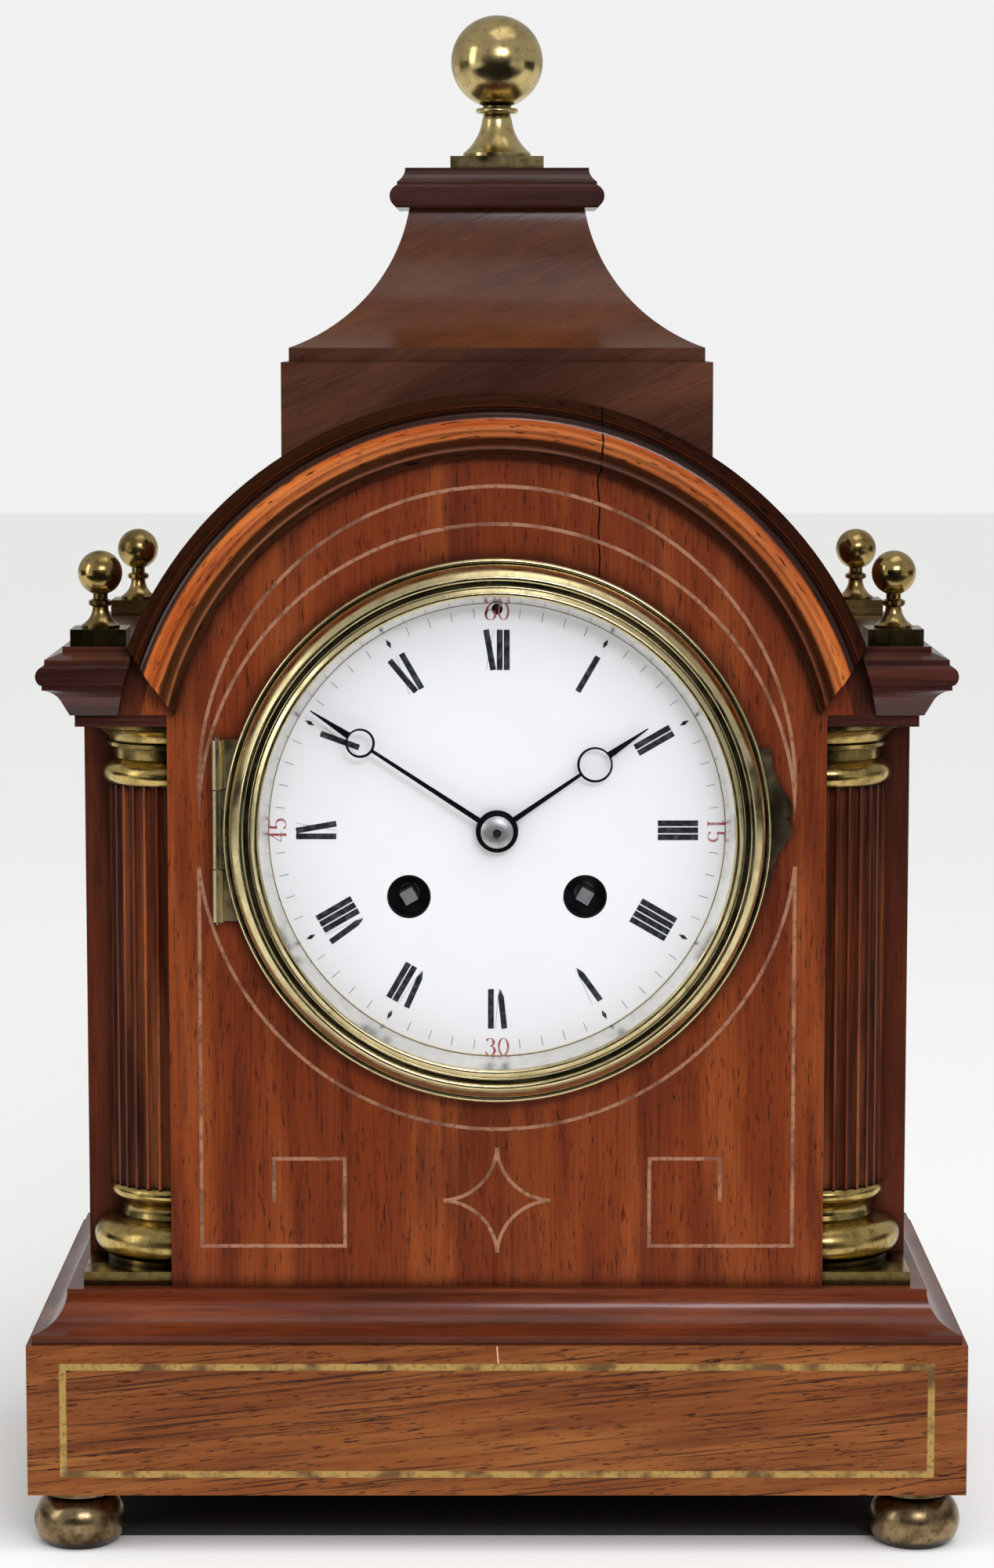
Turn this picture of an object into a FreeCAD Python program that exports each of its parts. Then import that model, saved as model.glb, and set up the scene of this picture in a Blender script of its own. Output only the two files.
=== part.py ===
import FreeCAD, Part
import math
import os

import Sketcher
from FreeCAD import Placement, Rotation, Vector

# A bracket clock with an arched case, a caddy top and an eight-day striking movement.
# Millimetres, +Z up, the dial faces -Y, origin at the centre of the footprint on the ground.

SIZES = {
    # base and feet
    "base_half_width": (129, "base block, half of its width"),
    "base_half_depth": (78, "base block, half of its depth"),
    "foot_height": (16.5, "bun foot"),
    "foot_radius": (13, "bun foot at its widest"),
    "base_top": (58.5, "top of the base block above the ground"),
    "base_line_inset": (9, "stringing on the base, from the ends of the block"),
    "base_line_rise": (5, "stringing on the base, from its top and bottom edges"),
    "base_line_width": (1.9, "width of the stringing on the base"),
    "string_depth": (0.8, "depth of every stringing groove"),
    # case
    "case_half_width": (115, "side panels' outer faces"),
    "case_half_depth": (64, "front panel's face and back board's face"),
    "case_bottom": (71.9, "foot of the front panel"),
    "springing": (230.6, "bottom of the cornice"),
    "cornice_top": (249.5, "top of the cornice"),
    "arch_centre": (211, "centre height of the arch"),
    "roof_radius": (105, "outside of the arch roof"),
    "roof_wall": (6, "arch roof's thickness"),
    "hood_inner": (89.9, "inner edge of the arch moulding"),
    "hood_outer": (107, "outer edge of the arch moulding"),
    "board": (12, "front panel's and back board's thickness"),
    "side_wall": (18, "side panel's thickness"),
    "notch": (25, "square notch for a corner column"),
    "shaft_radius": (18.5, "corner column"),
    "flute_radius": (1.45, "flute of a corner column"),
    "shaft_bottom": (97.4, "foot of the column shaft"),
    "capital_bottom": (209.8, "bottom of the capital"),
    "abacus_bottom": (227.4, "bottom of the abacus"),
    # caddy top
    "caddy_half_width": (59.05, "caddy block"),
    "caddy_half_depth": (50, "caddy block"),
    "caddy_shoulder": (326, "top of the caddy block"),
    "bell_bottom": (329.9, "foot of the concave bell"),
    "bell_top": (368.7, "top of the concave bell"),
    "bell_sweep": (50, "radius of the concave bell"),
    "bell_draw": (32.4, "how far the bell draws in"),
    "cap_top": (379.8, "top of the caddy cap"),
    "finial_ball": (12.95, "large ball's radius"),
    "finial_top": (423, "top of the large ball"),
    "small_ball": (6.05, "small ball's radius"),
    "small_ball_top": (275.1, "top of the small balls"),
    "small_finial_x": (108.2, "small finials from the centre line"),
    "small_finial_y": (58, "small finials from the middle of the depth"),
    # dial and bezel
    "dial_height": (199, "dial centre above the ground"),
    "aperture": (66, "radius of the openings in the front panel and back board"),
    "dial_radius": (64, "enamel dial"),
    "dial_thick": (1.2, "enamel dial"),
    "bezel_radius": (74.6, "bezel ring's outer edge"),
    "bezel_sight": (64.6, "bezel ring's inner edge"),
    "bezel_back": (-1.8, "back of the bezel, from the panel's face"),
    "bezel_front": (-10.8, "front of the bezel, from the panel's face"),
    "hinge_x": (76, "hinge axes from the centre line"),
    "knuckle_radius": (1.6, "hinge knuckle"),
    "pin_radius": (0.7, "hinge pin"),
    "running": (0.05, "radial clearance of a running fit"),
    "winding_x": (24.1, "winding squares from the centre line"),
    "winding_z": (-18.3, "winding squares from the dial centre"),
    "winding_hole": (6, "radius of the winding holes"),
    "winding_square": (3.8, "across the flats of a winding square"),
    "regulator_z": (60.5, "regulator square above the dial centre"),
    "minute_angle": (303.2, "minute hand, clockwise from the top"),
    "hour_angle": (55.6, "hour hand, clockwise from the top"),
    # movement, depths counted from the panel's face
    "plate_radius": (48, "movement plates"),
    "plate_thick": (2.5, "movement plates"),
    "front_plate_y": (14, "front of the front plate"),
    "back_plate_y": (46, "front of the back plate"),
    "module_large": (0.5, "tooth module of the great wheels and the next wheels"),
    "module_small": (0.4, "tooth module of the upper trains"),
    "module_motion": (0.6, "tooth module of the motion work"),
    "barrel_teeth": (84, "great wheels"),
    "barrel_pinion": (12, "pinions that the great wheels drive"),
    "second_teeth": (64, "going intermediate wheel"),
    "strike_teeth": (56, "strike second wheel"),
    "leaves": (8, "every other pinion"),
    "centre_teeth": (64, "centre wheel"),
    "third_teeth": (60, "third wheel and pin wheel"),
    "escape_teeth": (30, "escape wheel"),
    "cannon_leaves": (10, "cannon pinion"),
    "motion_teeth": (30, "motion wheel"),
    "hour_teeth": (32, "hour wheel"),
    "drum_radius": (19.5, "mainspring barrels"),
    "anchor_z": (41, "anchor arbor above the dial centre"),
    "pendulum_head": (1.6, "round head that the suspension spring hangs from"),
    "bob_z": (-75, "pendulum bob from the dial centre"),
    "bob_radius": (17, "pendulum bob"),
    "bell_radius": (27, "strike bell"),
    "bell_x": (-8, "strike bell from the centre line"),
    "bell_z": (16, "strike bell above the dial centre"),
}

doc = FreeCAD.newDocument("BracketClock")
sheet = doc.addObject("Spreadsheet::Sheet", "Sizes")
parts = []


class Size:
    """A length that knows its value and the expression that gives it from the sheet."""

    def __init__(self, value, text):
        self.value = float(value)
        self.text = text

    def __add__(self, other):
        return combine(self, "+", other, lambda a, b: a + b)

    def __radd__(self, other):
        return combine(other, "+", self, lambda a, b: a + b)

    def __sub__(self, other):
        return combine(self, "-", other, lambda a, b: a - b)

    def __rsub__(self, other):
        return combine(other, "-", self, lambda a, b: a - b)

    def __mul__(self, other):
        return combine(self, "*", other, lambda a, b: a * b)

    def __rmul__(self, other):
        return combine(other, "*", self, lambda a, b: a * b)

    def __truediv__(self, other):
        return combine(self, "/", other, lambda a, b: a / b)

    def __neg__(self):
        return Size(-self.value, "(-1 * %s)" % self.text)


def as_size(thing):
    return thing if isinstance(thing, Size) else Size(thing, "(%.10g)" % thing)


def combine(left, sign, right, rule):
    left, right = as_size(left), as_size(right)
    return Size(rule(left.value, right.value), "(%s %s %s)" % (left.text, sign, right.text))


def root(number):
    number = as_size(number)
    return Size(math.sqrt(number.value), "sqrt(%s)" % number.text)


class Cells:
    """The sheet's cells by name."""


def fill_sheet():
    cells = Cells()
    for row, (name, (value, meaning)) in enumerate(SIZES.items(), start=1):
        sheet.set("A%d" % row, name)
        sheet.set("B%d" % row, str(value))
        sheet.set("C%d" % row, meaning)
        sheet.setAlias("B%d" % row, name)
        setattr(cells, name, Size(value, "Sizes." + name))
    doc.recompute()
    return cells


dim = fill_sheet()
front = -dim.case_half_depth        # the front panel's face
back = dim.case_half_depth          # the back board's face
zc = dim.dial_height


# ---------------------------------------------------------------- drawing helpers

def new_body(label):
    body = doc.addObject("PartDesign::Body", label)
    body.Label = label
    return body


def keep(thing, label=None):
    """Marks an object as one of the sub-parts that are written out."""
    if label:
        thing.Label = label
    parts.append(thing)
    return thing


def place(thing, x=0, y=0, z=0, turn=0.0, axis=(0, 1, 0)):
    """Puts a sub-part in its place, turned by a number of degrees about an axis."""
    spot = Vector(as_size(x).value, as_size(y).value, as_size(z).value)
    thing.Placement = Placement(spot, Rotation(Vector(*axis), turn))
    for letter, value in zip("xyz", (x, y, z)):
        if isinstance(value, Size):
            thing.setExpression("Placement.Base." + letter, value.text)
    return thing


def new_sketch(body, role, name, level=0):
    """A sketch on one of the body's origin planes, raised along the plane's normal."""
    sketch = body.newObject("Sketcher::SketchObject", body.Name + "_" + name)
    for plane in body.Origin.OriginFeatures:
        if plane.Role == role:
            sketch.AttachmentSupport = (plane, "")
    sketch.MapMode = "FlatFace"
    level = as_size(level)
    sketch.AttachmentOffset = Placement(Vector(0, 0, level.value), Rotation())
    sketch.setExpression("AttachmentOffset.Base.z", level.text)
    return sketch


def outline(sketch, corners):
    """Draws a closed outline. A corner is (x, y), or (x, y, r) where an arc of radius r
    leads to the next corner: r > 0 turns left (centre on the left), r < 0 turns right."""
    first = sketch.GeometryCount
    corners = [tuple(as_size(v) for v in corner) for corner in corners]
    spots = [Vector(corner[0].value, corner[1].value, 0) for corner in corners]
    count = len(corners)
    edges, ends = [], []
    for k, corner in enumerate(corners):
        here, there = spots[k], spots[(k + 1) % count]
        if len(corner) == 2:
            edges.append(Part.LineSegment(here, there))
            ends.append((1, 2))
            continue
        radius = corner[2].value
        run = there - here
        side = Vector(-run.y, run.x, 0).normalize() * (1 if radius > 0 else -1)
        rise = math.sqrt(max(radius ** 2 - run.Length ** 2 / 4, 0))
        middle = (here + there) * 0.5 + side * rise
        begin, stop = (here, there) if radius > 0 else (there, here)
        low = math.atan2(begin.y - middle.y, begin.x - middle.x)
        high = math.atan2(stop.y - middle.y, stop.x - middle.x)
        edges.append(Part.ArcOfCircle(Part.Circle(middle, Vector(0, 0, 1), abs(radius)), low, high))
        ends.append((1, 2) if radius > 0 else (2, 1))
    sketch.addGeometry(edges, False)
    rules, texts = [], []
    for k, corner in enumerate(corners):
        edge, after = first + k, first + (k + 1) % count
        start = ends[k][0]
        rules.append(Sketcher.Constraint("Coincident", edge, ends[k][1], after, ends[(k + 1) % count][0]))
        texts.append(None)
        for kind, value in (("DistanceX", corner[0]), ("DistanceY", corner[1])):
            rules.append(Sketcher.Constraint(kind, -1, 1, edge, start, value.value))
            texts.append(value.text)
        if len(corner) == 3:
            rules.append(Sketcher.Constraint("Radius", edge, abs(corner[2].value)))
            texts.append("abs(%s)" % corner[2].text)
    bind(sketch, rules, texts)


def ring(sketch, x, y, radius):
    """Draws a circle."""
    x, y, radius = as_size(x), as_size(y), as_size(radius)
    edge = sketch.addGeometry(Part.Circle(Vector(x.value, y.value, 0), Vector(0, 0, 1), radius.value), False)
    rules = [Sketcher.Constraint("DistanceX", -1, 1, edge, 3, x.value),
             Sketcher.Constraint("DistanceY", -1, 1, edge, 3, y.value),
             Sketcher.Constraint("Radius", edge, radius.value)]
    bind(sketch, rules, [x.text, y.text, radius.text])


def bind(sketch, rules, texts):
    sketch_rules = sketch.addConstraint(rules)
    for number, text in zip(sketch_rules, texts):
        if text:
            sketch.setExpression("Constraints[%d]" % number, text)


def rectangle(sketch, left, bottom, right, top):
    outline(sketch, [(left, bottom), (right, bottom), (right, top), (left, top)])


def pad(body, sketch, length, reverse=False, middle=False):
    feature = body.newObject("PartDesign::Pad", sketch.Name + "_pad")
    feature.Profile = sketch
    feature.setExpression("Length", as_size(length).text)
    feature.Reversed = reverse
    feature.Midplane = middle
    sketch.Visibility = False
    return feature


def pocket(body, sketch, length=None, reverse=False):
    """Cuts to a depth, or right through both ways when no depth is given."""
    feature = body.newObject("PartDesign::Pocket", sketch.Name + "_cut")
    feature.Profile = sketch
    if length is None:
        feature.Type = "ThroughAll"
        feature.Midplane = True
    else:
        feature.setExpression("Length", as_size(length).text)
        feature.Reversed = reverse
    return feature


def revolve(body, sketch, angle=360.0, reverse=False):
    feature = body.newObject("PartDesign::Revolution", sketch.Name + "_turned")
    feature.Profile = sketch
    feature.ReferenceAxis = (sketch, ["V_Axis"])
    feature.Angle = angle
    feature.Reversed = reverse
    return feature


def groove(body, sketch):
    feature = body.newObject("PartDesign::Groove", sketch.Name + "_groove")
    feature.Profile = sketch
    feature.ReferenceAxis = (sketch, ["V_Axis"])
    feature.Angle = 360
    return feature


def polar(body, originals, sketch, count, angle=360.0):
    """Repeats features about the sketch's normal."""
    feature = body.newObject("PartDesign::PolarPattern", originals[0].Name + "_round")
    feature.Originals = originals
    feature.Axis = (sketch, ["N_Axis"])
    feature.Angle = angle
    feature.Occurrences = int(as_size(count).value)
    feature.setExpression("Occurrences", as_size(count).text)
    feature.Refine = False
    body.Tip = feature
    return feature


def turned(label, profile, x=0, y=0, z=0, upright=False, turn=0.0):
    """A turned piece: (radius, height) about Z when upright, (radius, depth) about Y if not."""
    body = new_body(label)
    sketch = new_sketch(body, "XZ_Plane" if upright else "XY_Plane", "profile")
    outline(sketch, profile)
    revolve(body, sketch)
    return place(body, x, y, z, turn)


def group(label, things):
    """Several loose solids that share one node."""
    bundle = doc.addObject("Part::Compound", label)
    bundle.Links = things
    return keep(bundle, label)


# ---------------------------------------------------------------- case

def moulded_slab(label, half_width, half_depth, edge):
    """A slab whose four sides carry the same moulding and meet in mitres. The edge is a
    list of (projection, height) or (projection, height, arc radius), from the bottom up."""
    body = new_body(label)
    side = new_sketch(body, "XZ_Plane", "side")
    outline(side, mirrored_edge(half_width, edge))
    pad(body, side, 2 * (half_depth + widest(edge)), middle=True)
    ends = new_sketch(body, "YZ_Plane", "ends")
    outline(ends, mirrored_edge(half_depth, edge))
    far = half_depth + widest(edge) + 20
    rectangle(ends, -far, edge[0][1] - 20, far, edge[-1][1] + 20)
    pocket(body, ends)
    return body


def widest(edge):
    return max((as_size(step[0]) for step in edge), key=lambda size: size.value)


def mirrored_edge(half, edge):
    """The outline of a slab in section: up the right side, down the left side."""
    right = [(half + step[0], step[1]) + tuple(step[2:]) for step in edge]
    left = []
    for k in range(len(edge) - 1, -1, -1):
        step = edge[k]
        arc = edge[k - 1][2:] if k > 0 else ()
        left.append((-(half + step[0]), step[1]) + tuple(arc))
    return right + left


def make_feet():
    feet = []
    height, radius = dim.foot_height, dim.foot_radius
    profile = [(0, 0), (radius - 3.6, 0), (radius - 1.4, 2.2, 9), (radius - 3.2, height - 3.4),
               (radius - 4.2, height - 2.6), (radius - 2.6, height - 1.8), (radius - 2.6, height),
               (0, height)]
    for side in (-1, 1):
        for end in (-1, 1):
            name = "bun_foot_%s_%s" % ("left" if side < 0 else "right", "front" if end < 0 else "rear")
            foot = turned(name, profile, side * (dim.base_half_width - radius),
                          end * (dim.base_half_depth - radius), upright=True)
            feet.append(foot)
    group("bun_feet", feet)


def make_base():
    body = new_body("base_plinth")
    sketch = new_sketch(body, "XY_Plane", "plan", dim.foot_height)
    rectangle(sketch, -dim.base_half_width, -dim.base_half_depth, dim.base_half_width, dim.base_half_depth)
    pad(body, sketch, dim.base_top - dim.foot_height)
    line = new_sketch(body, "XZ_Plane", "line", dim.base_half_depth)
    base_line(line)
    pocket(body, line, dim.string_depth)
    keep(body)
    string = new_body("base_stringing")
    line = new_sketch(string, "XZ_Plane", "line", dim.base_half_depth)
    base_line(line)
    pad(string, line, dim.string_depth, reverse=True)
    keep(string)
    cove = moulded_slab("base_cove_moulding", dim.case_half_width, dim.case_half_depth,
                        [(12.5, dim.base_top), (12.5, dim.base_top + 2.5, -10.5),
                         (3.6, dim.case_bottom - 1.3), (3.6, dim.case_bottom)])
    keep(cove)


def base_line(sketch):
    """The rectangular stringing line on the front of the base."""
    left = dim.base_half_width - dim.base_line_inset
    low = dim.foot_height + dim.base_line_rise
    high = dim.base_top - dim.base_line_rise
    wide = dim.base_line_width
    rectangle(sketch, -left, low, left, high)
    rectangle(sketch, -left + wide, low + wide, left - wide, high - wide)


def make_side_panels():
    """Each side panel turns in at the front to form the notch for its column."""
    for side, name in ((-1, "side_panel_left"), (1, "side_panel_right")):
        body = new_body(name)
        sketch = new_sketch(body, "XY_Plane", "plan", dim.case_bottom)
        outer, inner = dim.case_half_width, dim.case_half_width - dim.side_wall
        notch_x, notch_y = dim.case_half_width - dim.notch, front + dim.notch
        plan = [(notch_x - dim.board, front + dim.board), (notch_x, front + dim.board), (notch_x, notch_y),
                (outer, notch_y), (outer, back), (inner, back), (inner, notch_y + dim.board),
                (notch_x - dim.board, notch_y + dim.board)]
        outline(sketch, [(side * x, y) for x, y in plan])
        pad(body, sketch, dim.springing - dim.case_bottom)
        keep(body)
    floor = new_body("floor_board")
    sketch = new_sketch(floor, "XY_Plane", "plan", dim.case_bottom)
    inner = dim.case_half_width - dim.side_wall
    notch_x = dim.case_half_width - dim.notch - dim.board
    step = front + dim.notch + dim.board
    outline(sketch, [(-notch_x, front + dim.board), (notch_x, front + dim.board), (notch_x, step),
                     (inner, step), (inner, back - dim.board), (-inner, back - dim.board),
                     (-inner, step), (-notch_x, step)])
    pad(floor, sketch, dim.board)
    keep(floor)


def arched_outline(sketch, half_width, radius):
    """A board with straight sides up to the springing and an arch above it."""
    reach = root(radius * radius - (dim.springing - dim.arch_centre) * (dim.springing - dim.arch_centre))
    outline(sketch, [(-half_width, dim.case_bottom), (half_width, dim.case_bottom),
                     (half_width, dim.springing), (reach, dim.springing, radius),
                     (-reach, dim.springing), (-half_width, dim.springing)])


def make_front_panel():
    body = new_body("front_panel")
    sketch = new_sketch(body, "XZ_Plane", "arch", -front)
    arched_outline(sketch, dim.case_half_width - dim.notch, dim.roof_radius - dim.roof_wall)
    ring(sketch, 0, zc, dim.aperture)
    pad(body, sketch, dim.board, reverse=True)
    for name, draw in (("frame", string_frame), ("crescent", string_crescent), ("star", string_star)):
        line = new_sketch(body, "XZ_Plane", name, -front)
        draw(line)
        pocket(body, line, dim.string_depth)
    keep(body)
    string = new_body("panel_stringing")
    for name, draw in (("frame", string_frame), ("crescent", string_crescent), ("star", string_star)):
        line = new_sketch(string, "XZ_Plane", name, -front)
        draw(line)
        pad(string, line, dim.string_depth, reverse=True)
    keep(string)


def string_frame(sketch):
    """One line: a key corner, up to the springing of the lower arc, round under the bezel, and
    down to the other key corner. Drawn along one edge of the line and back along the other.
    The line turns back on itself where the upright meets the arc, so there the edges cross over."""
    half = 0.5
    arc, middle, side = 82, zc - 1, 81.5
    low, key_top, key_tip = 83.2, 107.7, 95.6
    near, far = 42.0, 61.5
    big, small = as_size(arc + half), as_size(arc - half)
    tip = middle - root(small * small - (side - half) * (side - half))
    fork = middle - root(big * big - (side - half) * (side - half))
    outer = [(far + half, key_tip), (far + half, key_top + half), (near - half, key_top + half),
             (near - half, low - half), (side + half, low - half), (side + half, tip)]
    inner = [(far - half, key_tip), (far - half, key_top - half), (near + half, key_top - half),
             (near + half, low + half), (side - half, low + half), (side - half, fork)]
    corners = list(outer)
    corners.append((side - half, tip, -small))
    corners.append((half - side, tip))
    corners += [(-x, z) for x, z in reversed(outer)]
    corners += [(-x, z) for x, z in inner[:-1]]
    corners.append((half - side, fork, big))
    corners += list(reversed(inner))
    outline(sketch, corners)


def string_crescent(sketch):
    """Two arcs that meet at the springing: one about the arch centre, one about a lower point."""
    for grow in (0.5, -0.5):
        upper, lower = as_size(81.3 + grow), as_size(81.6 - grow)
        top, bottom = dim.arch_centre + 0.5, dim.arch_centre - 10
        apart = top - bottom
        # height of the meeting points above the lower centre
        lift = (apart * apart + lower * lower - upper * upper) / (2 * apart)
        reach = root(lower * lower - lift * lift)
        meet = bottom + lift
        outline(sketch, [(reach, meet, upper), (0, top + upper, upper), (-reach, meet, -lower),
                         (0, bottom + lower, -lower)])


def string_star(sketch):
    """A four-pointed star with hollow sides, as one line. The outer tips are cut off square."""
    middle, tip, inner, half = 96, 14.8, 11.4, 0.5
    hollow, inner_hollow = 15, 16.1
    outline(sketch, [(half, middle + tip, hollow), (tip, middle + half), (tip, middle - half, hollow),
                     (half, middle - tip), (-half, middle - tip, hollow), (-tip, middle - half),
                     (-tip, middle + half, hollow), (-half, middle + tip)])
    points = [(0, middle + inner), (inner, middle), (0, middle - inner), (-inner, middle)]
    outline(sketch, [(x, z, inner_hollow) for x, z in points])


def make_back_board():
    body = new_body("back_board")
    sketch = new_sketch(body, "XZ_Plane", "arch", -back + dim.board)
    arched_outline(sketch, dim.case_half_width - dim.side_wall, dim.roof_radius - dim.roof_wall)
    ring(sketch, 0, zc, dim.aperture)
    pad(body, sketch, dim.board, reverse=True)
    keep(body)


def make_roof():
    body = new_body("arch_roof")
    sketch = new_sketch(body, "XZ_Plane", "arch")
    lift = dim.springing - dim.arch_centre
    outer, inner = dim.roof_radius, dim.roof_radius - dim.roof_wall
    far, near = root(outer * outer - lift * lift), root(inner * inner - lift * lift)
    outline(sketch, [(near, dim.springing), (far, dim.springing, outer), (-far, dim.springing),
                     (-near, dim.springing, -inner)])
    pad(body, sketch, 2 * dim.case_half_depth, middle=True)
    keep(body)


def make_arch_moulding():
    """The hood over the front panel, cut off at each end on the mitre with the cornice."""
    body = new_body("arch_moulding")
    sketch = new_sketch(body, "XY_Plane", "profile")
    low, high = dim.hood_inner, dim.hood_outer
    outline(sketch, [(low, front), (high, front), (high, front - 8.2), (high - 3.3, front - 8.2),
                     (high - 3.9, front - 7.0), (high - 4.6, front - 7.0), (high - 5.2, front - 8.6, -3.4),
                     (high - 9.6, front - 8.6), (high - 10.2, front - 6.6), (high - 12.4, front - 6.0),
                     (high - 13.0, front - 5.0, 4.6), (low, front - 2.6)])
    revolve(body, sketch)
    lift = dim.cornice_top - dim.arch_centre
    outer = root(high * high - lift * lift)
    drop = dim.springing - dim.arch_centre
    inner = root(low * low - drop * drop)
    cut = new_sketch(body, "XZ_Plane", "mitre")
    top, bottom = lift, drop
    outline(cut, [(-outer - 20, top), (-outer, top), (-inner, bottom), (inner, bottom), (outer, top),
                  (outer + 20, top), (outer + 20, -high - 20), (-outer - 20, -high - 20)])
    pocket(body, cut)
    place(body, z=dim.arch_centre)
    keep(body)


def make_cornices():
    """The moulded entablatures on the shoulders. They return round the front and the back."""
    body = moulded_slab("side_cornices", dim.case_half_width, dim.case_half_depth,
                        [(1.2, dim.springing), (3.5, dim.springing + 4.4, -6.2), (8, dim.springing + 7.4),
                         (8, dim.springing + 8.6), (8.6, dim.springing + 8.9, 2.9),
                         (8.6, dim.springing + 13.4), (7.3, dim.springing + 14.2),
                         (7.3, dim.springing + 15.6), (2.8, dim.springing + 17.4),
                         (2.8, dim.cornice_top)])
    hollow = new_sketch(body, "XZ_Plane", "barrel")
    ring(hollow, 0, dim.arch_centre, dim.roof_radius)
    pocket(body, hollow)
    lift, drop = dim.cornice_top - dim.arch_centre, dim.springing - dim.arch_centre
    high, low = dim.hood_outer, dim.hood_inner
    outer, inner = root(high * high - lift * lift), root(low * low - drop * drop)
    mitre = new_sketch(body, "XZ_Plane", "mitre", -front)
    outline(mitre, [(outer + 8, dim.cornice_top + 8), (outer, dim.cornice_top), (inner, dim.springing),
                    (-inner, dim.springing), (-outer, dim.cornice_top), (-outer - 8, dim.cornice_top + 8)])
    pocket(body, mitre, 20, reverse=True)
    keep(body)


def make_columns():
    """Fluted quarter columns that stand in the notches, with their bases, capitals and abaci."""
    shafts, bases, capitals, abaci = [], [], [], []
    corner_x, corner_y = dim.case_half_width - dim.notch, front + dim.notch
    for side, name in ((-1, "left"), (1, "right")):
        shaft = new_body("corner_column_" + name)
        plan = new_sketch(shaft, "XY_Plane", "plan", dim.shaft_bottom)
        outline(plan, [(0, 0), (side * dim.shaft_radius, 0, -side * dim.shaft_radius), (0, -dim.shaft_radius)])
        pad(shaft, plan, dim.capital_bottom - dim.shaft_bottom)
        flute = new_sketch(shaft, "XY_Plane", "flute", dim.shaft_bottom)
        angle = math.radians(5.6)
        ring(flute, side * dim.shaft_radius * math.cos(angle), -dim.shaft_radius * math.sin(angle),
             dim.flute_radius)
        cut = pocket(shaft, flute)
        pattern = polar(shaft, [cut], flute, 8, 78.8)
        pattern.Reversed = side > 0
        shafts.append(place(shaft, side * corner_x, corner_y))

        base = new_body("column_base_" + name)
        low = dim.case_bottom
        plinth = new_sketch(base, "XY_Plane", "plinth", low)
        rectangle(plinth, 0, -24.4, side * 24.4, 0)
        pad(base, plinth, 3.8)
        profile = new_sketch(base, "XZ_Plane", "profile")
        outline(profile, side_profile(side, [
            (0, low + 3), (20.4, low + 3), (20.4, low + 5.2), (20.2, low + 5.2, 5.4), (20.2, low + 15.2),
            (16, low + 16.2), (15.6, low + 17.4, -3.0), (16.6, low + 20.6), (17.6, low + 21.4, 2.2),
            (17.6, dim.shaft_bottom), (0, dim.shaft_bottom)]))
        revolve(base, profile, 90, reverse=side > 0)
        bases.append(place(base, side * corner_x, corner_y))

        capital = new_body("capital_" + name)
        low = dim.capital_bottom
        profile = new_sketch(capital, "XZ_Plane", "profile")
        outline(profile, side_profile(side, [
            (0, low), (18.2, low, 3.6), (18.2, low + 6.2), (16.8, low + 7.2), (16.8, low + 10),
            (18.4, low + 10.6), (18.4, low + 11.6), (17.8, low + 11.8, -7.4), (23.6, low + 16.4),
            (24.2, low + 16.4), (24.2, dim.abacus_bottom), (0, dim.abacus_bottom)]))
        revolve(capital, profile, 90, reverse=side > 0)
        capitals.append(place(capital, side * corner_x, corner_y))

        abacus = new_body("abacus_" + name)
        plan = new_sketch(abacus, "XY_Plane", "plan", dim.abacus_bottom)
        rectangle(plan, 0, -dim.notch, side * dim.notch, 0)
        pad(abacus, plan, dim.springing - dim.abacus_bottom)
        abaci.append(place(abacus, side * corner_x, corner_y))
    group("corner_columns", shafts)
    group("column_bases", bases)
    group("capitals", capitals)
    group("abaci", abaci)


def side_profile(side, corners):
    """Mirrors a half profile to the left side when the side is -1."""
    return [(side * corner[0], corner[1]) + tuple(side * arc for arc in corner[2:]) for corner in corners]


def make_caddy():
    block = moulded_slab("caddy_block", dim.caddy_half_width, dim.caddy_half_depth,
                         [(0, dim.arch_centre + 70), (0, dim.caddy_shoulder), (-2.1, dim.caddy_shoulder),
                          (-2.1, dim.bell_bottom)])
    saddle = new_sketch(block, "XZ_Plane", "saddle")
    ring(saddle, 0, dim.arch_centre, dim.roof_radius)
    pocket(block, saddle)
    keep(block)
    bell = moulded_slab("caddy_bell", dim.caddy_half_width - 2.1, dim.caddy_half_depth - 2.1,
                        [(0, dim.bell_bottom, -dim.bell_sweep), (-dim.bell_draw, dim.bell_top)])
    keep(bell)
    draw = 2.1 + dim.bell_draw
    cap = moulded_slab("caddy_cap", dim.caddy_half_width - draw, dim.caddy_half_depth - draw,
                       [(3.6, dim.bell_top), (4.2, dim.bell_top + 0.6, 3.3), (4.2, dim.bell_top + 5.8),
                        (3.4, dim.bell_top + 6.4), (3.4, dim.bell_top + 7.2, -5), (1.2, dim.cap_top - 0.9),
                        (1.2, dim.cap_top)])
    keep(cap)


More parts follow.
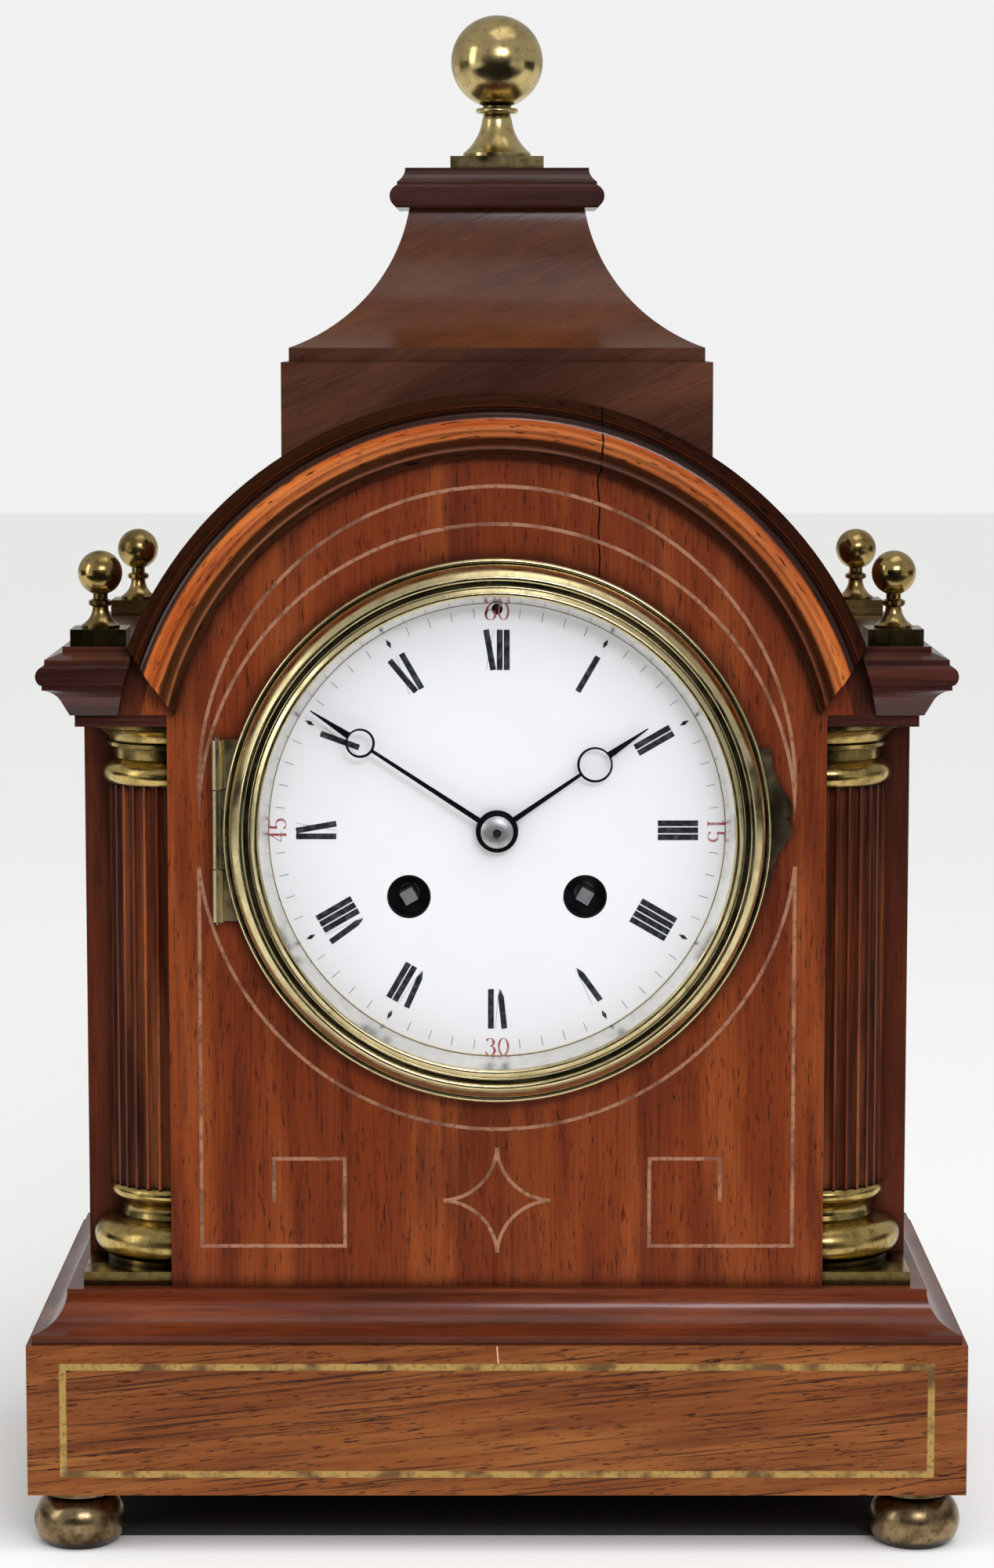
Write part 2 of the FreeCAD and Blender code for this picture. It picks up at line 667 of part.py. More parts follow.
def make_finials():
    body = new_body("top_finial")
    plan = new_sketch(body, "XY_Plane", "plinth", dim.cap_top)
    rectangle(plan, -13.1, -13.1, 13.1, 13.1)
    pad(body, plan, 3.4)
    foot, top, ball = dim.cap_top + 3.4, dim.finial_top, dim.finial_ball
    profile = new_sketch(body, "XZ_Plane", "profile")
    seat = root(ball * ball - 16)
    outline(profile, [(0, foot - 1), (9.6, foot - 1), (9.6, foot + 1.2, -14), (4.2, foot + 10.6),
                      (3.7, foot + 12), (5.6, foot + 12.4, 0.9), (5.6, foot + 13.8), (4, foot + 13.8),
                      (4, top - ball - seat, ball), (0, top)])
    revolve(body, profile)
    keep(body)
    small = []
    for side in (-1, 1):
        for end in (-1, 1):
            name = "finial_%s_%s" % ("left" if side < 0 else "right", "front" if end < 0 else "rear")
            body = new_body(name)
            plan = new_sketch(body, "XY_Plane", "plinth", dim.cornice_top)
            rectangle(plan, -7.6, -7.6, 7.6, 7.6)
            pad(body, plan, 4.6)
            foot, top, ball = dim.cornice_top + 4.6, dim.small_ball_top, dim.small_ball
            profile = new_sketch(body, "XZ_Plane", "profile")
            seat = root(ball * ball - 4)
            outline(profile, [(0, foot - 1), (5.2, foot - 1), (5.2, foot + 0.7, -6), (2.1, foot + 5.6),
                              (3.2, foot + 6.3), (3.2, foot + 7.3), (2, foot + 7.9),
                              (2, top - ball - seat, ball), (0, top)])
            revolve(body, profile)
            small.append(place(body, side * dim.small_finial_x, end * dim.small_finial_y))
    group("corner_finials", small)


# ---------------------------------------------------------------- dial and bezel

def knuckle(body, name, x, y, low, high, radius):
    """Adds one hinge knuckle, upright, to a body."""
    sketch = new_sketch(body, "XY_Plane", name, low)
    ring(sketch, x, y, radius)
    pad(body, sketch, as_size(high) - low)


def bore(body, name, x, y, radius):
    sketch = new_sketch(body, "XY_Plane", name)
    ring(sketch, x, y, radius)
    pocket(body, sketch)


HINGE = (-24.8, -10.5, -10.2, 11.3, 11.6, 25.0)     # knuckle ends, from the dial centre up


def make_dial_flange():
    """The brass ring seated in the front panel. Its two knuckles carry the bezel."""
    body = new_body("dial_flange")
    profile = new_sketch(body, "XY_Plane", "profile")
    outline(profile, [(62.2, front), (62.2, front - 1.5), (72.8, front - 1.5), (72.8, front),
                      (65.8, front), (65.8, front + 10), (64.1, front + 10), (64.1, front)])
    revolve(body, profile)
    axis_y = front - 3
    for low, high in ((HINGE[0], HINGE[1]), (HINGE[4], HINGE[5])):
        leaf = new_sketch(body, "XY_Plane", "leaf", low)
        rectangle(leaf, -dim.hinge_x, front - 1.5, -66.2, front)
        pad(body, leaf, high - low)
        knuckle(body, "knuckle", -dim.hinge_x, axis_y, low, high, dim.knuckle_radius)
    bore(body, "bore", -dim.hinge_x, axis_y, dim.pin_radius)
    keep(place(body, z=zc))


def make_bezel():
    body = new_body("bezel_ring")
    rim, sight, rear, lip = dim.bezel_radius, dim.bezel_sight, front + dim.bezel_back, front + dim.bezel_front
    profile = new_sketch(body, "XY_Plane", "profile")
    outline(profile, [(67, rear), (rim, rear), (rim, lip + 6.2, -0.9), (rim - 1.5, lip + 6.0),
                      (rim - 1.5, lip + 5.4, -6.5), (rim - 4.2, lip + 1.4), (rim - 4.2, lip + 0.9, -1.1),
                      (rim - 5.9, lip + 0.9), (rim - 6.1, lip + 1.8), (rim - 7.0, lip + 1.8),
                      (rim - 7.2, lip + 1.0, -0.4), (rim - 7.8, lip + 1.0), (rim - 8.1, lip + 1.0),
                      (sight + 1.4, lip + 0.4, -0.9), (sight, lip + 0.6), (sight, lip + 1.4),
                      (67, lip + 1.4)])
    revolve(body, profile)
    axis_y = front - 3
    tab = new_sketch(body, "XY_Plane", "leaf", HINGE[2])
    rectangle(tab, -dim.hinge_x, axis_y - 1.4, -73, axis_y + 0.8)
    pad(body, tab, HINGE[3] - HINGE[2])
    knuckle(body, "knuckle", -dim.hinge_x, axis_y, HINGE[2], HINGE[3], dim.knuckle_radius)
    bore(body, "bore", -dim.hinge_x, axis_y, dim.pin_radius + dim.running)
    keep(place(body, z=zc))
    keep(turned("bezel_glass", [(0, lip + 1.4), (66.8, lip + 1.4), (66.8, lip + 3.2), (0, lip + 3.2)], z=zc))
    keep(turned("sight_ring", [(65.2, lip + 3.2), (66.8, lip + 3.2), (66.8, lip + 5.4), (63.3, rear),
                               (62.4, rear)], z=zc))
    make_thumb_tab()


def make_thumb_tab():
    """A double-curved finger plate against the bezel's back, on its opening side. Its inner edge
    clears the dial flange."""
    rise, reach, inner = 3.4, 19, 73.2
    half = [(74.2, reach), (75.2, 13.6), (77, 9.2), (80.2, 4.2), (80.5, 1.4)]
    body = new_body("bezel_thumb_tab")
    sketch = new_sketch(body, "XZ_Plane", "outline", -front - dim.bezel_back)
    top, foot = rise + reach, rise - reach
    right = [(x, rise + z) for x, z in half]
    left = [(x, rise - z) for x, z in reversed(half)]
    outline(sketch, [(math.sqrt(inner ** 2 - top ** 2), top)] + right + [(78.8, rise)] + left
            + [(math.sqrt(inner ** 2 - foot ** 2), foot, inner)])
    pad(body, sketch, 1.2, reverse=True)
    keep(place(body, z=zc))


def make_hinge_pins():
    """The bezel's pin and the rear door's pin."""
    pins = []
    for name, x, y in (("bezel_pin", -dim.hinge_x, front - 3), ("door_pin", dim.hinge_x, back + 4)):
        pins.append(turned(name, [(0, HINGE[0] - 0.8), (dim.pin_radius, HINGE[0] - 0.8),
                                  (dim.pin_radius, HINGE[5] + 0.8), (0, HINGE[5] + 0.8)],
                           x, y, zc, upright=True))
    group("hinge_pins", pins)


def make_dial():
    body = new_body("enamel_dial")
    sketch = new_sketch(body, "XZ_Plane", "outline", -front)
    ring(sketch, 0, 0, dim.dial_radius)
    ring(sketch, 0, 0, 4.2)
    ring(sketch, 0, dim.regulator_z, 1.5)
    for side in (-1, 1):
        ring(sketch, side * dim.winding_x, dim.winding_z, dim.winding_hole)
    pad(body, sketch, dim.dial_thick, reverse=True)
    keep(place(body, z=zc))


def make_hand(label, level, thick, hub, bore_radius, ring_at, ring_radius, tip, angle):
    """A hand with a pierced moon: hub, tapered shank, ring with an off-centre hole, leaf tip."""
    body = new_body(label)
    parts_of_hand = (
        ("hub", lambda s: ring(s, 0, 0, hub)),
        ("shank", lambda s: outline(s, [(-0.75, hub - 1), (0.75, hub - 1), (0.45, ring_at - ring_radius + 0.3),
                                        (-0.45, ring_at - ring_radius + 0.3)])),
        ("moon", lambda s: ring(s, 0, ring_at, ring_radius)),
        ("leaf", lambda s: outline(s, [(-0.95, ring_at + ring_radius - 0.25),
                                       (0.95, ring_at + ring_radius - 0.25), (0.15, tip), (-0.15, tip)])),
    )
    for name, draw in parts_of_hand:
        sketch = new_sketch(body, "XZ_Plane", name, -level)
        draw(sketch)
        pad(body, sketch, thick, reverse=True)
    holes = new_sketch(body, "XZ_Plane", "holes", -level)
    ring(holes, 0, 0, bore_radius)
    ring(holes, 0, ring_at + 0.1, ring_radius - 0.6)
    pocket(body, holes)
    keep(place(body, z=zc, turn=angle.value))
    body.setExpression("Placement.Rotation.Angle", angle.text)


def make_hands():
    make_hand("hour_hand", front - 2.7, 0.7, 5.8, 3.4, 32.3, 4.85, 49.8, dim.hour_angle)
    make_hand("minute_hand", front - 4.3, 0.7, 5.0, 1.2, 44.4, 4.0, 60.6, dim.minute_angle)
    body = new_body("hand_collet")
    profile = new_sketch(body, "XY_Plane", "profile")
    outline(profile, [(1.2, front - 4.3), (1.2, front - 5.6), (1.9, front - 5.6, 5), (4.4, front - 4.7),
                      (4.4, front - 4.3)])
    revolve(body, profile)
    keep(place(body, z=zc))


# ---------------------------------------------------------------- movement

ADDENDUM, DEDENDUM = 1.0, 1.6        # in modules


def depth(value):
    """A depth in the movement, counted back from the panel's face."""
    return front + value


def rod(body, name, stations):
    """A stepped arbor about the body's own Y axis: pairs of (depth, radius from there on)."""
    sketch = new_sketch(body, "XY_Plane", name)
    corners = [(0, stations[0][0])]
    for (near, radius), (far, after) in zip(stations, stations[1:]):
        corners.append((radius, near))
        if radius != after or far is stations[-1][0]:
            corners.append((radius, far))
    corners.append((0, stations[-1][0]))
    outline(sketch, corners)
    revolve(body, sketch)


def toothed(body, name, teeth, module, level, thick, spokes=0, hub=3.0):
    """Adds a toothed wheel or pinion to an arbor: a disc, one tooth space patterned round it,
    and for a wheel its crossings, one opening patterned round it."""
    teeth = as_size(teeth)
    pitch = teeth * module / 2
    outer, inner = pitch + ADDENDUM * module, pitch - DEDENDUM * module
    disc = new_sketch(body, "XZ_Plane", name + "_disc", -level)
    ring(disc, 0, 0, outer)
    pad(body, disc, thick, reverse=True).Refine = False
    space = new_sketch(body, "XZ_Plane", name + "_space", -level)
    half = math.pi / teeth.value
    reach = (outer.value + 0.02) / math.cos(half)
    outline(space, [(0, inner), (reach * math.sin(half), outer + 0.02),
                    (-reach * math.sin(half), outer + 0.02)])
    cut = pocket(body, space, thick)
    cut.Refine = False
    polar(body, [cut], space, teeth)
    if spokes:
        opening = new_sketch(body, "XZ_Plane", name + "_crossing", -level)
        rim = inner - 1.4
        crossing(opening, hub, rim.value, 360.0 / spokes)
        cut = pocket(body, opening, thick)
        polar(body, [cut], opening, spokes)


def crossing(sketch, hub, rim, sector):
    """One opening between two spokes: an outer arc, an inner arc and two straight sides."""
    spoke = 0.9
    turn = math.radians(sector / 2)

    def corner(radius, side):
        swing = turn - math.asin(spoke / radius)
        return side * radius * math.sin(swing), radius * math.cos(swing)

    left_out, right_out = corner(rim, -1), corner(rim, 1)
    left_in, right_in = corner(hub, -1), corner(hub, 1)
    outline(sketch, [right_out + (rim,), left_out, left_in + (-hub,), right_in])


def mesh_turn(driver, driver_turn, driver_teeth, wheel, wheel_teeth):
    """How far a wheel is turned so that a tooth of it faces a space of the driver. Both start
    with a space straight up; spots are (x, z), and turns are clockwise seen from the front."""
    toward = math.degrees(math.atan2(wheel[0] - driver[0], wheel[1] - driver[1]))
    driver_step, wheel_step = 360.0 / driver_teeth, 360.0 / wheel_teeth
    share = ((toward - driver_turn) / driver_step) % 1.0
    return (toward + 180.0 - wheel_step * (0.5 - share)) % wheel_step


def meeting(first, first_reach, second, second_reach, side):
    """The point at two given distances from two arbors, on the chosen side of the line."""
    dx, dz = second[0] - first[0], second[1] - first[1]
    span = math.hypot(dx, dz)
    along = (first_reach ** 2 - second_reach ** 2 + span ** 2) / (2 * span)
    off = math.sqrt(first_reach ** 2 - along ** 2) * side
    return (first[0] + along * dx / span - off * dz / span,
            first[1] + along * dz / span + off * dx / span)


def centres(teeth, leaves, module):
    return ((teeth + leaves) * module / 2).value


def arbor(label, spot, turn):
    """A body whose Y axis is an arbor at a spot (x, z) from the dial centre."""
    body = new_body(label)
    body.Placement = Placement(Vector(spot[0], 0, 0), Rotation(Vector(0, 1, 0), turn))
    body.setExpression("Placement.Base.z", (zc + spot[1]).text)
    return keep(body)


def layout():
    """Where the arbors stand, from the tooth counts."""
    large, small, motion = dim.module_large, dim.module_small, dim.module_motion
    spots = {"centre": (0.0, 0.0)}
    spots["going"] = (dim.winding_x.value, dim.winding_z.value)
    spots["strike"] = (-dim.winding_x.value, dim.winding_z.value)
    great = centres(dim.barrel_teeth, dim.barrel_pinion, large)
    second = centres(dim.second_teeth, dim.leaves, large)
    spots["intermediate"] = meeting(spots["centre"], second, spots["going"], great, 1)
    x, z = spots["intermediate"]
    spots["strike_second"] = (-x, z)
    spots["third"] = (0.0, centres(dim.centre_teeth, dim.leaves, small))
    spots["escape"] = (0.0, spots["third"][1] + centres(dim.third_teeth, dim.leaves, small))
    spots["motion"] = (0.0, -centres(dim.cannon_leaves, dim.motion_teeth, motion))
    reach = centres(dim.strike_teeth, dim.leaves, large)
    tilt = math.radians(11)
    second_x, second_z = spots["strike_second"]
    spots["pin"] = (second_x - reach * math.sin(tilt), second_z + reach * math.cos(tilt))
    reach = centres(dim.third_teeth, dim.leaves, small)
    tilt = math.radians(51)
    spots["fly"] = (spots["pin"][0] - reach * math.sin(tilt), spots["pin"][1] + reach * math.cos(tilt))
    spots["hammer"] = (-38.0, 8.0)
    spots["anchor"] = (0.0, dim.anchor_z.value)
    return spots


def turns(spots):
    """The turn of each wheel that brings the trains into mesh, starting from the centre arbor
    and from the strike barrel."""
    eight = dim.leaves.value
    great, first = dim.barrel_teeth.value, dim.barrel_pinion.value
    turn = {"centre": 0.0, "strike": 0.0}
    turn["intermediate"] = mesh_turn(spots["centre"], 0.0, eight, spots["intermediate"],
                                     dim.second_teeth.value)
    turn["going"] = mesh_turn(spots["intermediate"], turn["intermediate"], first, spots["going"], great)
    turn["third"] = mesh_turn(spots["centre"], 0.0, dim.centre_teeth.value, spots["third"], eight)
    turn["escape"] = mesh_turn(spots["third"], turn["third"], dim.third_teeth.value, spots["escape"], eight)
    turn["motion"] = mesh_turn(spots["centre"], 0.0, dim.cannon_leaves.value, spots["motion"],
                               dim.motion_teeth.value)
    turn["hour"] = mesh_turn(spots["motion"], turn["motion"], eight, spots["centre"], dim.hour_teeth.value)
    turn["strike_second"] = mesh_turn(spots["strike"], 0.0, great, spots["strike_second"], first)
    turn["pin"] = mesh_turn(spots["strike_second"], turn["strike_second"], dim.strike_teeth.value,
                            spots["pin"], eight)
    turn["fly"] = mesh_turn(spots["pin"], turn["pin"], dim.third_teeth.value, spots["fly"], eight)
    return turn


def make_plates(spots):
    """The two round plates with a pivot hole for every arbor, and the pillars between them.
    Three pillars reach forward as feet to the back of the dial."""
    pivots = {"centre": 1.2, "intermediate": 1.2, "third": 1.0, "escape": 0.9, "anchor": 1.1,
              "strike_second": 1.2, "pin": 1.0, "fly": 0.9, "hammer": 1.2}
    pillars = [(0, -43.5, True), (43.5, 6, False), (26, 36.5, True), (-26, 36.2, True), (-43.5, -2, False)]
    for label, level in (("front_plate", dim.front_plate_y), ("back_plate", dim.back_plate_y)):
        body = new_body(label)
        sketch = new_sketch(body, "XZ_Plane", "outline", -depth(level))
        ring(sketch, 0, 0, dim.plate_radius)
        for name, radius in pivots.items():
            if name == "centre" and label == "front_plate":
                radius = 2.1
            ring(sketch, spots[name][0], spots[name][1], radius + dim.running)
        for name in ("going", "strike"):
            ring(sketch, spots[name][0], spots[name][1], 3 + dim.running)
        for x, z, dial_foot in pillars:
            ring(sketch, x, z, 1.8)
        pad(body, sketch, dim.plate_thick, reverse=True)
        keep(place(body, z=zc))
    posts = []
    near, far = depth(dim.front_plate_y), depth(dim.back_plate_y)
    thick = dim.plate_thick
    for number, (x, z, dial_foot) in enumerate(pillars, start=1):
        post = new_body("pillar_%d" % number)
        stations = [(near - 1.4, 3), (near, 1.8), (near + thick, 3.2), (far, 1.8),
                    (far + thick, 3), (far + thick + 1.4, 3)]
        if dial_foot:
            stations.insert(0, (depth(dim.dial_thick), 2.2))
        rod(post, "shape", stations)
        posts.append(place(post, x, 0, zc + z))
    group("plate_pillars", posts)


def make_fixings():
    """Straps from the dial flange to the rear ring, with the screws that draw them together."""
    straps, screws = [], []
    for side, name in ((-1, "left"), (1, "right")):
        strap = new_body("strap_" + name)
        plan = new_sketch(strap, "XY_Plane", "plan", -4.5)
        outline(plan, [(side * 59.5, front + 10), (side * 65.2, front + 10), (side * 65.2, front + 12),
                       (side * 62.5, front + 12), (side * 62.5, back), (side * 59.5, back)])
        pad(strap, plan, 9)
        hole = new_sketch(strap, "XZ_Plane", "tapping", -back)
        ring(hole, side * 61, 0, 1)
        pocket(strap, hole, 9, reverse=True)
        straps.append(place(strap, z=zc))
        screw = new_body("strap_screw_" + name)
        rod(screw, "shape", [(back - 8, 1), (back + 2, 2.9), (back + 3.8, 2.9)])
        slot = new_sketch(screw, "XZ_Plane", "slot", -back - 3.8)
        rectangle(slot, -3.2, -0.4, 3.2, 0.4)
        pocket(screw, slot, 0.8, reverse=True)
        screws.append(place(screw, side * 61, 0, zc))
    group("movement_straps", straps)
    group("strap_screws", screws)


def make_rear_ring_and_door():
    body = new_body("rear_ring")
    profile = new_sketch(body, "XY_Plane", "profile")
    outline(profile, [(57.5, back), (64.4, back), (64.4, back - 6), (65.8, back - 6), (65.8, back),
                      (72.8, back), (72.8, back + 2), (57.5, back + 2)])
    revolve(body, profile)
    axis_y = back + 4
    for low, high in ((HINGE[0], HINGE[1]), (HINGE[4], HINGE[5])):
        leaf = new_sketch(body, "XY_Plane", "leaf", low)
        rectangle(leaf, 66.2, back, dim.hinge_x, back + 2)
        pad(body, leaf, high - low)
        web = new_sketch(body, "XY_Plane", "web", low)
        rectangle(web, dim.hinge_x - 0.9, back + 1, dim.hinge_x + 0.9, back + 3)
        pad(body, web, high - low)
        knuckle(body, "knuckle", dim.hinge_x, axis_y, low, high, dim.knuckle_radius)
    bore(body, "bore", dim.hinge_x, axis_y, dim.pin_radius)
    holes = new_sketch(body, "XZ_Plane", "screw_holes")
    for side in (-1, 1):
        ring(holes, side * 61, 0, 1.1)
    pocket(body, holes)
    keep(place(body, z=zc))
    door = new_body("rear_door")
    near = back + 2.3
    profile = new_sketch(door, "XY_Plane", "profile")
    outline(profile, [(67, near), (73.4, near), (73.4, near + 1.4), (71.4, near + 1.4, 3.2),
                      (67.6, near + 4.6), (54, near + 4.6, 1.6), (51.6, near + 5.6), (6, near + 8),
                      (4.4, near + 8), (4.4, near + 9.2, 1.6), (5.2, near + 11.4), (0, near + 11.4),
                      (0, near + 6.8), (51, near + 4.4), (53.6, near + 3.4), (67, near + 3.4)])
    revolve(door, profile)
    leaf = new_sketch(door, "XY_Plane", "leaf", HINGE[2])
    rectangle(leaf, 70, near, dim.hinge_x, near + 1.2)
    pad(door, leaf, HINGE[3] - HINGE[2])
    knuckle(door, "knuckle", dim.hinge_x, axis_y, HINGE[2], HINGE[3], dim.knuckle_radius)
    bore(door, "bore", dim.hinge_x, axis_y, dim.pin_radius + dim.running)
    keep(place(door, z=zc))


def make_barrel(label, arbor_label, spot, turn):
    """A mainspring barrel with its great wheel, and the winding arbor that runs through it."""
    body = arbor(label, spot, turn)
    toothed(body, "great", dim.barrel_teeth, dim.module_large, depth(18.7), 1.7)
    drum = new_sketch(body, "XZ_Plane", "drum", -depth(20.4))
    ring(drum, 0, 0, dim.drum_radius)
    pad(body, drum, 19.4, reverse=True)
    lid = new_sketch(body, "XY_Plane", "lid")
    outline(lid, [(dim.drum_radius - 2.2, depth(39.8)), (dim.drum_radius - 1.2, depth(39.8)),
                  (dim.drum_radius - 1.2, depth(38.9)), (dim.drum_radius - 2.2, depth(38.9))])
    groove(body, lid)
    through = new_sketch(body, "XZ_Plane", "bore")
    ring(through, 0, 0, 3 + dim.running)
    pocket(body, through)
    spindle = arbor(arbor_label, spot, 30.0 if spot[0] > 0 else -30.0)
    rod(spindle, "shape", [(depth(12), 3), (depth(49.4), 3)])
    ratchet = new_sketch(spindle, "XZ_Plane", "ratchet", -depth(10.6))
    ring(ratchet, 0, 0, 8.2)
    pad(spindle, ratchet, 2.2, reverse=True).Refine = False
    notch = new_sketch(spindle, "XZ_Plane", "ratchet_tooth", -depth(10.6))
    outline(notch, [(0, 6.9), (0.1, 8.6), (-2.1, 8.6)])
    cut = pocket(spindle, notch, 2.2)
    polar(spindle, [cut], notch, 24)
    square = new_sketch(spindle, "XZ_Plane", "square", -depth(0.5))
    half = dim.winding_square / 2
    rectangle(square, -half, -half, half, half)
    pad(spindle, square, 10.3, reverse=True)


def make_going_train(spots, turn):
    body = arbor("centre_arbor", spots["centre"], 0.0)
    rod(body, "shape", [(depth(-7.0), 1.2), (depth(-3.6), 2.1), (depth(12.6), 2.1), (depth(18), 1.2),
                        (depth(48), 1.2)])
    toothed(body, "cannon", dim.cannon_leaves, dim.module_motion, depth(7.2), 3.2)
    toothed(body, "wheel", dim.centre_teeth, dim.module_small, depth(17), 1.0, 5, 3.4)
    toothed(body, "pinion", dim.leaves, dim.module_large, depth(41.8), 2.4)

    body = arbor("motion_wheel", spots["motion"], turn["motion"])
    rod(body, "shape", [(depth(3.2), 0.9), (depth(14), 0.9)])
    toothed(body, "pinion", dim.leaves, dim.module_motion, depth(3.4), 4.8)
    toothed(body, "wheel", dim.motion_teeth, dim.module_motion, depth(8.2), 1.2, 4, 3.0)

    body = arbor("hour_wheel", spots["centre"], turn["hour"])
    toothed(body, "wheel", dim.hour_teeth, dim.module_motion, depth(4), 1.2, 4, 5.0)
    pipe = new_sketch(body, "XZ_Plane", "pipe", -depth(-2.7))
    ring(pipe, 0, 0, 3.4)
    pad(body, pipe, 7.9, reverse=True)
    hole = new_sketch(body, "XZ_Plane", "bore")
    ring(hole, 0, 0, 2.1 + dim.running)
    pocket(body, hole)

    body = arbor("intermediate_wheel", spots["intermediate"], turn["intermediate"])
    rod(body, "shape", [(depth(14.6), 1.2), (depth(48), 1.2)])
    toothed(body, "pinion", dim.barrel_pinion, dim.module_large, depth(18.4), 2.4)
    toothed(body, "wheel", dim.second_teeth, dim.module_large, depth(42.4), 1.2, 5, 3.0)

    body = arbor("third_wheel", spots["third"], turn["third"])
    rod(body, "shape", [(depth(14.6), 1.0), (depth(48), 1.0)])
    toothed(body, "pinion", dim.leaves, dim.module_small, depth(16.8), 1.5)
    toothed(body, "wheel", dim.third_teeth, dim.module_small, depth(40.4), 0.9, 4, 2.6)

    body = arbor("escape_wheel", spots["escape"], turn["escape"])
    rod(body, "shape", [(depth(14.6), 0.9), (depth(48), 0.9)])
    toothed(body, "pinion", dim.leaves, dim.module_small, depth(39.6), 2.5)
    make_escape_teeth(body)


def make_escape_teeth(body):
    """Pointed teeth that lean back: each space has one straight and one sloping side."""
    tip, gullet, level, thick = 9.0, 7.0, depth(24), 1.0
    disc = new_sketch(body, "XZ_Plane", "escape_disc", -level)
    ring(disc, 0, 0, tip)
    pad(body, disc, thick, reverse=True).Refine = False
    step = 2 * math.pi / dim.escape_teeth.value
    space = new_sketch(body, "XZ_Plane", "escape_space", -level)
    outline(space, [(0, gullet), (tip * math.sin(0.12 * step), tip + 0.3),
                    (-tip * math.sin(0.82 * step), tip + 0.3), (-gullet * math.sin(0.35 * step), gullet)])
    cut = pocket(body, space, thick)
    cut.Refine = False
    polar(body, [cut], space, dim.escape_teeth)
    opening = new_sketch(body, "XZ_Plane", "escape_crossing", -level)
    crossing(opening, 2.2, 5.8, 90.0)
    cut = pocket(body, opening, thick)
    polar(body, [cut], opening, 4)


def make_anchor(spots):
    """The anchor that spans the escape wheel, its arbor, and the crutch behind the back plate."""
    body = new_body("anchor")
    rod(body, "shape", [(depth(14.6), 1.1), (depth(53.5), 1.1)])
    down = spots["escape"][1] - spots["anchor"][1]
    anchor = new_sketch(body, "XZ_Plane", "anchor", -depth(23.4))
    # the pallets stop just outside the circle that the tooth points run on
    outline(anchor, [(-2.6, 2.2), (2.6, 2.2), (9.2, down + 8.4), (10.8, down + 3.6), (10.1, down + 1.6),
                     (8.4, down + 6.2), (6.0, down + 9.2), (0, down + 10.4), (-6.0, down + 9.2),
                     (-8.4, down + 6.2), (-10.1, down + 1.6), (-10.8, down + 3.6), (-9.2, down + 8.4)])
    pad(body, anchor, 2.2, reverse=True)
    arm = new_sketch(body, "XZ_Plane", "crutch", -depth(51.4))
    outline(arm, [(-2.2, 2.2), (2.2, 2.2), (1.0, -24), (-1.0, -24)])
    pad(body, arm, 1.2, reverse=True)
    fork = new_sketch(body, "XZ_Plane", "fork", -depth(51.4))
    rectangle(fork, -3.2, -27, 3.2, -23)
    pad(body, fork, 8, reverse=True)
    slot = new_sketch(body, "XZ_Plane", "fork_slot", -depth(52.6))
    rectangle(slot, -1.0, -28, 1.0, -22)
    pocket(body, slot, 12)
    keep(place(body, z=zc + dim.anchor_z))


def make_pendulum():
    """The suspension spring with the rod and hook, and the lens-shaped bob."""
    pivot = zc + dim.anchor_z
    body = new_body("pendulum_rod")
    head = new_sketch(body, "XZ_Plane", "head", -depth(53.9))
    ring(head, 0, 0, dim.pendulum_head)
    pad(body, head, 4.2, reverse=True)
    spring = new_sketch(body, "XY_Plane", "spring", -9)
    rectangle(spring, -0.15, depth(54.1), 0.15, depth(57.9))
    pad(body, spring, 8)
    stem = new_sketch(body, "XY_Plane", "stem", dim.bob_z - dim.anchor_z - dim.bob_radius - 6)
    ring(stem, 0, depth(56), 0.8)
    pad(body, stem, dim.anchor_z + dim.bob_radius + 6 - 8 - dim.bob_z)
    nut = new_sketch(body, "XY_Plane", "nut", dim.bob_z - dim.anchor_z - dim.bob_radius - 4)
    ring(nut, 0, depth(56), 2.6)
    pad(body, nut, 3)
    keep(place(body, z=pivot))
    bob = new_body("pendulum_bob")
    profile = new_sketch(bob, "XY_Plane", "profile")
    outline(profile, [(0, -3.6), (6, -3.6, 30), (dim.bob_radius, -0.7), (dim.bob_radius, 0.7, 30), (6, 3.6),
                      (0, 3.6)])
    revolve(bob, profile)
    hole = new_sketch(bob, "XY_Plane", "rod_hole")
    ring(hole, 0, 0, 0.8)
    pocket(bob, hole)
    keep(place(bob, y=depth(56), z=zc + dim.bob_z))


